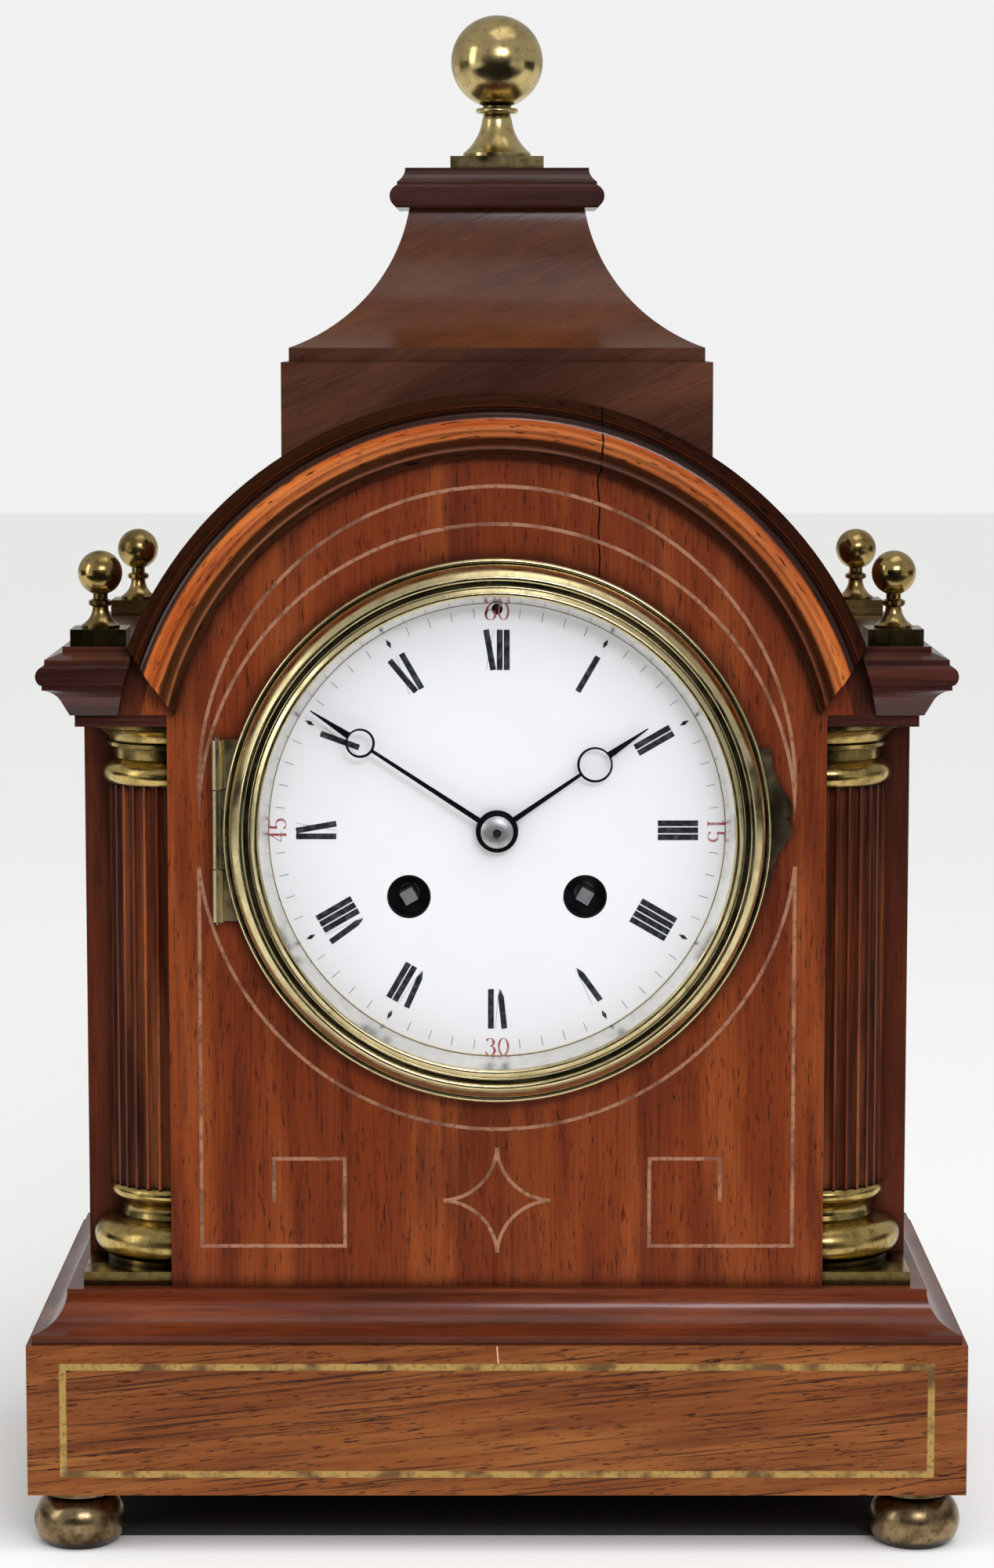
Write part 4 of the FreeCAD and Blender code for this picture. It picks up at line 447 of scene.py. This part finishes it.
def glassMaterial(name):
    # drawn glass with a ground edge: clear, with a faint reflection that grows at a slant
    material = newMaterial(name)
    place = addNode(material, "ShaderNodeTexCoord").outputs["Object"]
    ripple = addNode(material, "ShaderNodeTexNoise", {"Scale": 12.0, "Detail": 1.0},
                     {"Vector": place})
    wavy = addNode(material, "ShaderNodeBump", {"Strength": 0.02, "Distance": 0.3 * mm},
                   {"Height": ripple.outputs["Fac"]})
    through = addNode(material, "ShaderNodeBsdfTransparent", {"Color": (0.99, 1.0, 0.995, 1.0)})
    mirror = addNode(material, "ShaderNodeBsdfGlossy", {"Roughness": 0.02},
                     {"Normal": wavy.outputs[0]})
    edge = addNode(material, "ShaderNodeLayerWeight", {"Blend": 0.5})
    slant = addNode(material, "ShaderNodeMapRange",
                    {"From Min": 0.55, "From Max": 1.0, "To Min": 0.02, "To Max": 0.35},
                    {"Value": edge.outputs["Facing"]})
    mixed = addNode(material, "ShaderNodeMixShader", {},
                    {0: slant.outputs[0], 1: through.outputs[0], 2: mirror.outputs[0]})
    addNode(material, "ShaderNodeOutputMaterial", {}, {"Surface": mixed.outputs[0]})
    return material


def paintMaterial(name, colour, rough, worn):
    # fired or oil paint, thinly laid: one colour that lets the pale ground through in places
    material = newMaterial(name)
    tone = layColours(material, millimetres(material), linear(colour), [
        ("thin", (1.6, 1.6, 1.6), 0.45, 0.75, worn, "#d9d6d6"),
    ])[0]
    shader = addNode(material, "ShaderNodeBsdfPrincipled", {"Roughness": rough},
                     {"Base Color": tone})
    addNode(material, "ShaderNodeOutputMaterial", {}, {"Surface": shader.outputs[0]})
    return material


woods = {key: woodMaterial("mahogany" + key.capitalize(), look, cracks.get(key))
         for key, look in mahogany.items()}
woods["oak"] = woodMaterial("waxedOak", oak)
brasses = {key: brassMaterial("brass" + key.capitalize(), look) for key, look in brass.items()}
steels = {key: metalMaterial(key, look) for key, look in metals.items()}
panelString = stringingMaterial("copperyStringing", stringing["panel"])
baseString = stringingMaterial("brassStringing", stringing["base"])
whiteEnamel = enamelMaterial("whiteEnamel", "#eae7ea", "#e6e3e5")
numeralPaint = paintMaterial("firedBlack", "#161a22", 0.35, 0.10)
tickPaint = paintMaterial("firedGrey", "#7d8186", 0.4, 0.3)
redPaint = paintMaterial("firedRed", "#a0403f", 0.4, 0.35)
clearGlass = glassMaterial("dialGlass")
# black for the cups in the winding holes: painted shade
holeShadeBlack = paintMaterial("holeShadeBlack", "#1c1a1c", 0.3, 0.0)
print("materials made:", len(bpy.data.materials))

finishes = {
    woods["panel"]: ["front_panel"],
    woods["side"]: ["side_panel_left", "side_panel_right", "arch_roof"],
    woods["column"]: ["corner_columns"],
    woods["base"]: ["base_plinth"],
    woods["cove"]: ["base_cove_moulding"],
    woods["arch"]: ["arch_moulding"],
    woods["cornice"]: ["side_cornices", "abaci"],
    woods["caddy"]: ["caddy_block"],
    woods["bell"]: ["caddy_bell"],
    woods["cap"]: ["caddy_cap"],
    woods["oak"]: ["floor_board", "back_board"],
    brasses["bezel"]: ["bezel_ring", "bezel_thumb_tab"],
    brasses["flange"]: ["dial_flange"],
    brasses["mounts"]: ["column_bases", "capitals"],
    brasses["ball"]: ["top_finial"],
    brasses["smallBalls"]: ["corner_finials"],
    brasses["feet"]: ["bun_feet"],
    brasses["movement"]: ["rear_door", "rear_ring", "front_plate", "back_plate", "plate_pillars",
                          "movement_straps", "hour_wheel", "motion_wheel", "going_barrel",
                          "intermediate_wheel", "third_wheel", "escape_wheel", "strike_barrel",
                          "strike_second_wheel", "pin_wheel", "fly", "suspension_cock",
                          "bell_post", "pendulum_rod", "pendulum_bob"],
    steels["bluedSteel"]: ["hour_hand", "minute_hand", "strap_screws"],
    steels["polishedSteel"]: ["centre_arbor", "anchor", "hammer", "regulator_arbor",
                              "hinge_pins"],
    steels["wornSteel"]: ["hand_collet", "going_winding_arbor", "strike_winding_arbor"],
    steels["silveredBrass"]: ["sight_ring"],
    steels["bellMetal"]: ["bell"],
    panelString: ["panel_stringing"],
    baseString: ["base_stringing"],
    whiteEnamel: ["enamel_dial"],
    clearGlass: ["bezel_glass"],
}
for material, names in finishes.items():
    for name in names:
        slots = nodes[name].data.materials
        slots.clear()
        slots.append(material)
unfinished = set(nodes) - {name for names in finishes.values() for name in names}
print("finishes given, left over:", sorted(unfinished))

# fired paint stands a little proud of the enamel and is sunk a little into it; from here on all
# sizes of the dial's figures are millimetres, and lengths are measured from the dial's centre
paintFilm = {"proud": 0.05, "sunk": 0.1}


def ribbon(centre, widths, turn):
    # a line with a width at each of its points, as a closed thin bar: at each point the section's
    # corners stand half a width to each side, along the line's normal, once at the front and
    # once at the back; the bar is then turned about the dial's centre, in degrees
    centre = np.asarray(centre, float)
    widths = np.broadcast_to(np.asarray(widths, float), len(centre))
    run = np.gradient(centre, axis=0)
    run /= np.linalg.norm(run, axis=1)[:, None]
    normal = np.stack([-run[:, 1], run[:, 0]], axis=1)
    left = centre + normal * widths[:, None] / 2
    right = centre - normal * widths[:, None] / 2
    across = np.stack([left, right, right, left], axis=1)
    spin = math.radians(turn)
    x = across[..., 0] * math.cos(spin) + across[..., 1] * math.sin(spin)
    z = -across[..., 0] * math.sin(spin) + across[..., 1] * math.cos(spin)
    proud, sunk = paintFilm["proud"], paintFilm["sunk"]
    y = np.broadcast_to([-proud, -proud, sunk, sunk], x.shape)
    points = np.stack([dialX + x * mm, dialFaceY + y * mm, dialZ + z * mm], axis=-1)
    k = np.arange(len(centre) - 1)[:, None] * 4
    side = np.arange(4)[None, :]
    after = (side + 1) % 4
    faces = np.stack([k + side, k + after, k + 4 + after, k + 4 + side], axis=-1).reshape(-1, 4)
    last = (len(centre) - 1) * 4
    ends = np.array([[3, 2, 1, 0], [last, last + 1, last + 2, last + 3]])
    return points.reshape(-1, 3), np.vstack([faces, ends])


# hour numerals with their feet towards the centre; a fat V stroke grows from "point" to its full
# width over the share "taper" of its length. All but four hours have a diamond and a dot outside
numerals = {"inner": 43.9, "outer": 54.9, "pitch": 1.92, "fat": 1.6, "hairline": 0.07,
            "taper": 0.2, "point": 0.1}
diamonds = {"middle": 58.9, "tall": 2.8, "wide": 1.15, "point": 0.04}
dots = {"inner": 62.1, "outer": 62.5, "wide": 0.4}
# a letter is its room and a row of strokes: places of foot and head in pitches, and the weight
letterStrokes = {
    "I": (1.0, [(0.0, 0.0, "fat")]),
    "V": (1.75, [(0.05, -0.55, "fat"), (0.25, 0.75, "hairline")]),
    "X": (1.75, [(0.45, -0.55, "fat"), (-0.55, 0.55, "hairline")]),
}
hours = ["XII", "I", "II", "III", "IIII", "V", "VI", "VII", "VIII", "IX", "X", "XI"]


def numeral(word, turn):
    # each stroke is a straight ribbon: at a share of its length it stands at foot + share * (head
    # - foot) across, and at inner + share * (outer - inner) from the dial's centre
    inner, outer = numerals["inner"], numerals["outer"]
    advance = [letterStrokes[letter][0] for letter in word]
    starts = np.cumsum([0.0] + advance[:-1]) - sum(advance) / 2
    parts = []
    for letter, start, room in zip(word, starts, advance):
        for foot, head, weight in letterStrokes[letter][1]:
            share, widths = np.array([0.0, 1.0]), numerals[weight]
            if letter == "V" and weight == "fat":
                share = np.array([0.0, numerals["taper"], 1.0])
                widths = [numerals["point"], widths, widths]
            across = start + room / 2 + foot + share * (head - foot)
            line = np.stack([across * numerals["pitch"], inner + share * (outer - inner)], axis=1)
            parts.append(ribbon(line, widths, turn))
    return parts


def hourMarks(turn):
    # a diamond, a line that is wide at its middle, and a dot
    middle, half = diamonds["middle"], diamonds["tall"] / 2
    widths = [diamonds["point"], diamonds["wide"], diamonds["point"]]
    return [ribbon([(0, middle - half), (0, middle), (0, middle + half)], widths, turn),
            ribbon([(0, dots["inner"]), (0, dots["outer"])], dots["wide"], turn)]


blackParts = []
for hour, word in enumerate(hours):
    blackParts += numeral(word, hour * 30)
for hour in range(12):
    if hour % 3:
        blackParts += hourMarks(hour * 30)
addPiece("dialNumerals", *joinMeshes(blackParts), numeralPaint, "case")

# a fine mark for each minute that is not a multiple of five
minuteMarks = {"inner": 58.2, "outer": 60.8, "wide": 0.2}
tickParts = [ribbon([(0, minuteMarks["inner"]), (0, minuteMarks["outer"])], minuteMarks["wide"],
                    minute * 6) for minute in range(60) if minute % 5]
addPiece("dialMinuteMarks", *joinMeshes(tickParts), tickPaint, "case")


def arcLine(middle, reach, begin, end, count=18):
    # points on an ellipse about middle from one angle to another, in degrees, 0 to the right
    angle = np.radians(np.linspace(begin, end, count))
    return np.stack([middle[0] + reach[0] * np.cos(angle),
                     middle[1] + reach[1] * np.sin(angle)], axis=1)


# digits one unit tall: each is a list of lines
digitLines = {
    "0": [arcLine((0, 0.5), (0.27, 0.49), 90, 450, 36)],
    "1": [[(0, 0), (0, 1)], [(0, 0.98), (-0.2, 0.8)], [(-0.2, 0), (0.2, 0)]],
    "3": [arcLine((-0.03, 0.76), (0.21, 0.23), 160, -90),
          arcLine((-0.03, 0.27), (0.27, 0.27), 90, -160)],
    "4": [[(0.12, 1), (-0.28, 0.3)], [(-0.28, 0.3), (0.3, 0.3)], [(0.12, 1), (0.12, 0)]],
    "5": [[(-0.2, 0.97), (0.24, 0.97)], [(-0.2, 0.97), (-0.22, 0.55)],
          arcLine((-0.03, 0.31), (0.28, 0.30), 130, -150)],
    "6": [arcLine((0, 0.3), (0.27, 0.3), 90, 450, 30),
          arcLine((0.24, 0.3), (0.51, 0.69), 180, 98)],
}
# red quarter figures: their place in degrees, and whether they stand on their heads
redFigures = {"60": (0, False), "15": (90, False), "30": (180, True), "45": (270, False)}
redMarks = {"middle": 59.9, "tall": 4.7, "pitch": 3.55, "bar": 0.18,
            "stroke": (0.16, 0.5), "zeroStroke": (0.14, 0.42)}


def digits(word, place, flipped):
    # two digits side by side. A line's width is thin + swell * upright squared, where upright
    # is the rise of the line as a share of its run; a straight slanted or level line is a bar
    parts = []
    for number, letter in enumerate(word):
        offset = ((number - (len(word) - 1) / 2) * redMarks["pitch"], 0)
        thin, swell = redMarks["zeroStroke" if letter == "0" else "stroke"]
        for line in digitLines[letter]:
            line = (np.asarray(line, float) - (0, 0.5)) * redMarks["tall"]
            run = np.gradient(line, axis=0)
            upright = np.abs(run[:, 1]) / np.linalg.norm(run, axis=1)
            widths = thin + swell * upright ** 2
            if len(line) == 2 and upright[0] <= 0.99:
                widths = redMarks["bar"]
            turned = (line + offset) * (-1 if flipped else 1)
            parts.append(ribbon(turned + (0, redMarks["middle"]), widths, place))
    return parts


redParts = [part for word, (place, flipped) in redFigures.items()
            for part in digits(word, place, flipped)]
addPiece("dialRedFigures", *joinMeshes(redParts), redPaint, "case")
print("dial figures drawn")


def turnedPiece(profile, axisX, axisZ, steps):
    # a closed section of (radius, depth) points, in millimetres, carried round an axis that runs
    # into the dial: x = axis + radius * sin(angle), z = axis + radius * cos(angle)
    profile = np.asarray(profile, float) * mm
    angle = np.linspace(0, 2 * math.pi, steps, endpoint=False)[:, None]
    x = axisX + profile[:, 0] * np.sin(angle)
    z = axisZ + profile[:, 0] * np.cos(angle)
    y = np.broadcast_to(profile[:, 1], x.shape)
    points = np.stack([x, y, z], axis=-1).reshape(-1, 3)
    count = len(profile)
    ring = np.arange(steps)[:, None] * count
    after = (np.arange(steps)[:, None] + 1) % steps * count
    k = np.arange(count)[None, :]
    nextK = (k + 1) % count
    faces = np.stack([ring + k, after + k, after + nextK, ring + nextK], axis=-1).reshape(-1, 4)
    return points, faces


# black cups behind the winding holes, a painted shade that darkens the holes: outer radius, wall,
# depths of front and back behind the panel's face, floor, and the hole for the arbor
holeShadeCups = {"outer": 5.98, "wall": 0.35, "front": 0.15, "back": 9.6, "floor": 0.4,
               "hole": 2.8, "steps": 48}


def holeShadeCup(arbor):
    low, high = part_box(arbor)
    outer, inner = holeShadeCups["outer"], holeShadeCups["outer"] - holeShadeCups["wall"]
    near, far = (panelFaceY / mm + holeShadeCups[key] for key in ("front", "back"))
    hole, inside = holeShadeCups["hole"], far - holeShadeCups["floor"]
    profile = [(outer, near), (outer, far), (hole, far), (hole, inside), (inner, inside),
               (inner, near)]
    return turnedPiece(profile, (low[0] + high[0]) / 2, (low[2] + high[2]) / 2,
                       holeShadeCups["steps"])


# black cups in the winding holes: painted shade
cups = [holeShadeCup(arbor) for arbor in ("strike_winding_arbor", "going_winding_arbor")]
addPiece("holeShadeCups", *joinMeshes(cups), holeShadeBlack, "case", smooth=True)

# the bezel's turned face, a hair in front of the cast ring: where each bead starts and ends, as
# distance from the dial's centre and depth behind the rim's front, and the bead's radius
bezelFace = {"front": -10.8, "proud": 0.12, "steps": 360,
             "back": [(64.6, 1.3), (66.9, 1.3), (67.6, 2.6), (71.0, 4.6), (73.0, 6.8),
                      (74.5, 7.0)],
             "beads": [((74.6, 6.2), (73.1, 6.0), 0.9), ((73.1, 5.4), (70.4, 1.4), 6.5),
                       ((70.4, 0.9), (68.7, 0.9), 1.1), ((68.5, 1.8), (67.6, 1.8), 0.0),
                       ((67.4, 1.0), (66.8, 1.0), 0.4), ((66.0, 0.4), (64.6, 0.6), 0.9)]}


def bead(start, end, radius, steps=9):
    # points on the arc from start to end that bulges to the front: the straight line between
    # them, moved out by sqrt(radius^2 - distance from its middle^2), less that value at the
    # ends; radius 0 gives the straight line itself
    start, end = np.array(start), np.array(end)
    share = np.linspace(0, 1, steps if radius else 2)[:, None]
    line = start + (end - start) * share
    if radius:
        half = np.linalg.norm(end - start) / 2
        sink = math.sqrt(radius ** 2 - half ** 2)
        rise = np.sqrt(radius ** 2 - (half * (2 * share - 1)) ** 2) - sink
        out = np.array([start[1] - end[1], end[0] - start[0]]) / (2 * half)
        line = line + out * rise
    return line


face = panelFaceY / mm + bezelFace["front"] - bezelFace["proud"]
beads = np.vstack([bead(*some) for some in bezelFace["beads"]])
profile = np.vstack([beads, bezelFace["back"]]) + (0, face)
addPiece("bezelFace", *turnedPiece(profile[::-1], dialX, dialZ, bezelFace["steps"]),
         brasses["bezel"], "bezel", "brass", smooth=True)

# a tapered pin through the end of the centre arbor keeps the hands on: its length, its thickness
# at each end, its depth behind the panel's face, and its turn from upright, in degrees
handPin = {"length": 4.6, "thick": 0.42, "thin": 0.26, "depth": -6.25, "turn": 70,
           "steps": 6, "around": 12, "pole": 0.001}


def crossPin():
    # a round bar whose radius falls evenly from one end to the other, closed by a ring with
    # next to no radius at each end
    radius = np.linspace(handPin["thick"], handPin["thin"], handPin["steps"]) / 2
    along = np.linspace(-0.5, 0.5, handPin["steps"]) * handPin["length"] * mm
    radius = np.concatenate([[handPin["pole"]], radius, [handPin["pole"]]])[:, None] * mm
    along = np.concatenate([along[:1], along, along[-1:]])[:, None]
    around = handPin["around"]
    angle = np.linspace(0, 2 * math.pi, around, endpoint=False)[None, :]
    turn = math.radians(handPin["turn"])
    aside = radius * np.cos(angle)
    x = dialX + along * math.sin(turn) + aside * math.cos(turn)
    z = dialZ + along * math.cos(turn) - aside * math.sin(turn)
    y = panelFaceY + handPin["depth"] * mm + radius * np.sin(angle)
    points = np.stack([x, y, z], axis=-1).reshape(-1, 3)
    k = np.arange(len(along) - 1)[:, None] * around
    side = np.arange(around)[None, :]
    after = (side + 1) % around
    faces = np.stack([k + side, k + around + side, k + around + after, k + after], axis=-1)
    return points, faces.reshape(-1, 4)


addPiece("handPin", *crossPin(), steels["polishedSteel"], "minute", "polished_steel", smooth=True)
print("small pieces added")

# floor, backdrop and camera; the camera's place is in millimetres and its pitch in degrees
studio = {"floor": "#f0f0ee", "floorReach": 6.0, "backdrop": "#f1f1f1", "skyLight": 0.53,
          "lens": 91.8, "sensor": 36.0, "cameraY": -1147.4, "cameraZ": 336.5, "pitch": 6.57}

# daylight from wide soft sources far away: azimuth 0 shines from the front, 90 from the right
suns = {
    "rightDaylight": {"azimuth": 35, "elevation": 50, "strength": 1.62, "spread": 70},
    "leftDaylight": {"azimuth": -40, "elevation": 48, "strength": 0.35, "spread": 70},
}
# panels of light that face the clock: place and size in metres, power in watts
lightPanels = {
    "window": {"place": (0.35, -1.5, 1.0), "size": (0.7, 0.3), "power": 9, "colour": "#f3f2ff"},
    "leftWindow": {"place": (-1.3, -0.6, 0.7), "size": (0.4, 0.9), "power": 3,
                   "colour": "#ffffff"},
    "ceiling": {"place": (0.25, -0.35, 1.7), "size": (1.1, 0.7), "power": 3,
                "colour": "#ffffff"},
}
clockMiddle = (0.0, 0.0, 0.25)
# black cards: a corner and the two edges that leave it, in metres. Only reflections see them and
# draw dark bands with them in the polish and the metal; the camera sees the grey card on the floor
# under the base as well, a painted shadow in the gap beneath it
cards = {
    "darkTable": {"corner": (-1.2, -2.4, 0.004), "along": (2.4, 0, 0), "up": (0, 2.1, 0),
                  "tone": 0.01, "seen": False},
    # a grey card on the floor under the clock: painted shadow in the gap under the base
    "paintedGapShadow": {"corner": (-0.121, -0.062, 0.0006), "along": (0.242, 0, 0),
                "up": (0, 0.132, 0), "tone": 0.06, "seen": True},
    "darkRoom": {"corner": (-1.6, -2.2, 0), "along": (3.2, 0, 0), "up": (0, 0, 0.9),
                 "tone": 0.01, "seen": False},
    "darkLeft": {"corner": (-1.6, -0.5, 0), "along": (0, 1.1, 0), "up": (0, 0, 0.45),
                 "tone": 0.01, "seen": False},
    "darkRight": {"corner": (1.6, -0.5, 0), "along": (0, 1.1, 0), "up": (0, 0, 0.45),
                  "tone": 0.01, "seen": False},
}


def flatSheet(name, corners, material):
    mesh = bpy.data.meshes.new(name)
    mesh.from_pydata(corners, [], [(0, 1, 2, 3)])
    mesh.materials.append(material)
    plane = bpy.data.objects.new(name, mesh)
    bpy.context.scene.collection.objects.link(plane)
    return plane


def makeFloor():
    # white paper laid on the table
    material = newMaterial("paperSweep")
    shader = addNode(material, "ShaderNodeBsdfPrincipled",
                     {"Roughness": 0.7, "Specular IOR Level": 0.1,
                      "Base Color": linear(studio["floor"])})
    addNode(material, "ShaderNodeOutputMaterial", {}, {"Surface": shader.outputs[0]})
    reach = studio["floorReach"]
    corners = [(-reach, -reach, 0), (reach, -reach, 0), (reach, reach, 0), (-reach, reach, 0)]
    floor = flatSheet("floor", corners, material)


def darkCard(name, look):
    material = newMaterial(name)
    shader = addNode(material, "ShaderNodeBsdfDiffuse", {"Color": grey(look["tone"])})
    addNode(material, "ShaderNodeOutputMaterial", {}, {"Surface": shader.outputs[0]})
    corner, along, up = (np.array(look[key], float) for key in ("corner", "along", "up"))
    corners = np.array([corner, corner + along, corner + along + up, corner + up]).tolist()
    card = flatSheet(name, corners, material)
    card.visible_camera = card.visible_diffuse = look["seen"]
    card.visible_shadow = card.visible_transmission = look["seen"]


def sunlight(name, sun):
    lamp = bpy.data.lights.new(name, "SUN")
    lamp.energy = sun["strength"]
    lamp.angle = math.radians(sun["spread"])
    light = bpy.data.objects.new(name, lamp)
    light.rotation_euler = (math.radians(90 - sun["elevation"]), 0, math.radians(sun["azimuth"]))
    light.visible_glossy = False          # so wide a light would veil the polish
    bpy.context.scene.collection.objects.link(light)


def softLight(name, panel):
    # a panel's own front looks down, so it is tipped up and turned to look at the clock
    lamp = bpy.data.lights.new(name, "AREA")
    lamp.shape = "RECTANGLE"
    lamp.size, lamp.size_y = panel["size"]
    lamp.energy = panel["power"]
    lamp.color = linear(panel["colour"])[:3]
    light = bpy.data.objects.new(name, lamp)
    light.location = panel["place"]
    x, y, z = np.array(clockMiddle) - np.array(panel["place"])
    light.rotation_euler = (math.atan2(math.hypot(x, y), -z), 0, math.atan2(-x, y))
    bpy.context.scene.collection.objects.link(light)


def makeSky():
    # a white backdrop behind the clock; it lights the clock less than it shines
    world = bpy.data.worlds.new("studioWhite")
    world.use_nodes = True
    world.node_tree.nodes.clear()
    path = addNode(world, "ShaderNodeLightPath")
    strength = addNode(world, "ShaderNodeMapRange", {"To Min": studio["skyLight"], "To Max": 1.0},
                       {"Value": path.outputs["Is Camera Ray"]})
    background = addNode(world, "ShaderNodeBackground", {"Color": linear(studio["backdrop"])},
                         {"Strength": strength.outputs[0]})
    addNode(world, "ShaderNodeOutputWorld", {}, {"Surface": background.outputs[0]})
    bpy.context.scene.world = world


def makeCamera():
    data = bpy.data.cameras.new("camera")
    data.sensor_fit = "VERTICAL"
    data.sensor_height = studio["sensor"]
    data.lens = studio["lens"]
    camera = bpy.data.objects.new("camera", data)
    camera.location = (0.0, studio["cameraY"] * mm, studio["cameraZ"] * mm)
    camera.rotation_euler = (math.radians(90 - studio["pitch"]), 0.0, 0.0)
    bpy.context.scene.collection.objects.link(camera)
    bpy.context.scene.camera = camera


makeFloor()
makeSky()
makeCamera()
bpy.context.scene.view_settings.view_transform = "Standard"
for name, sun in suns.items():
    sunlight(name, sun)
for name, panel in lightPanels.items():
    softLight(name, panel)
for name, look in cards.items():
    darkCard(name, look)
print("studio set")
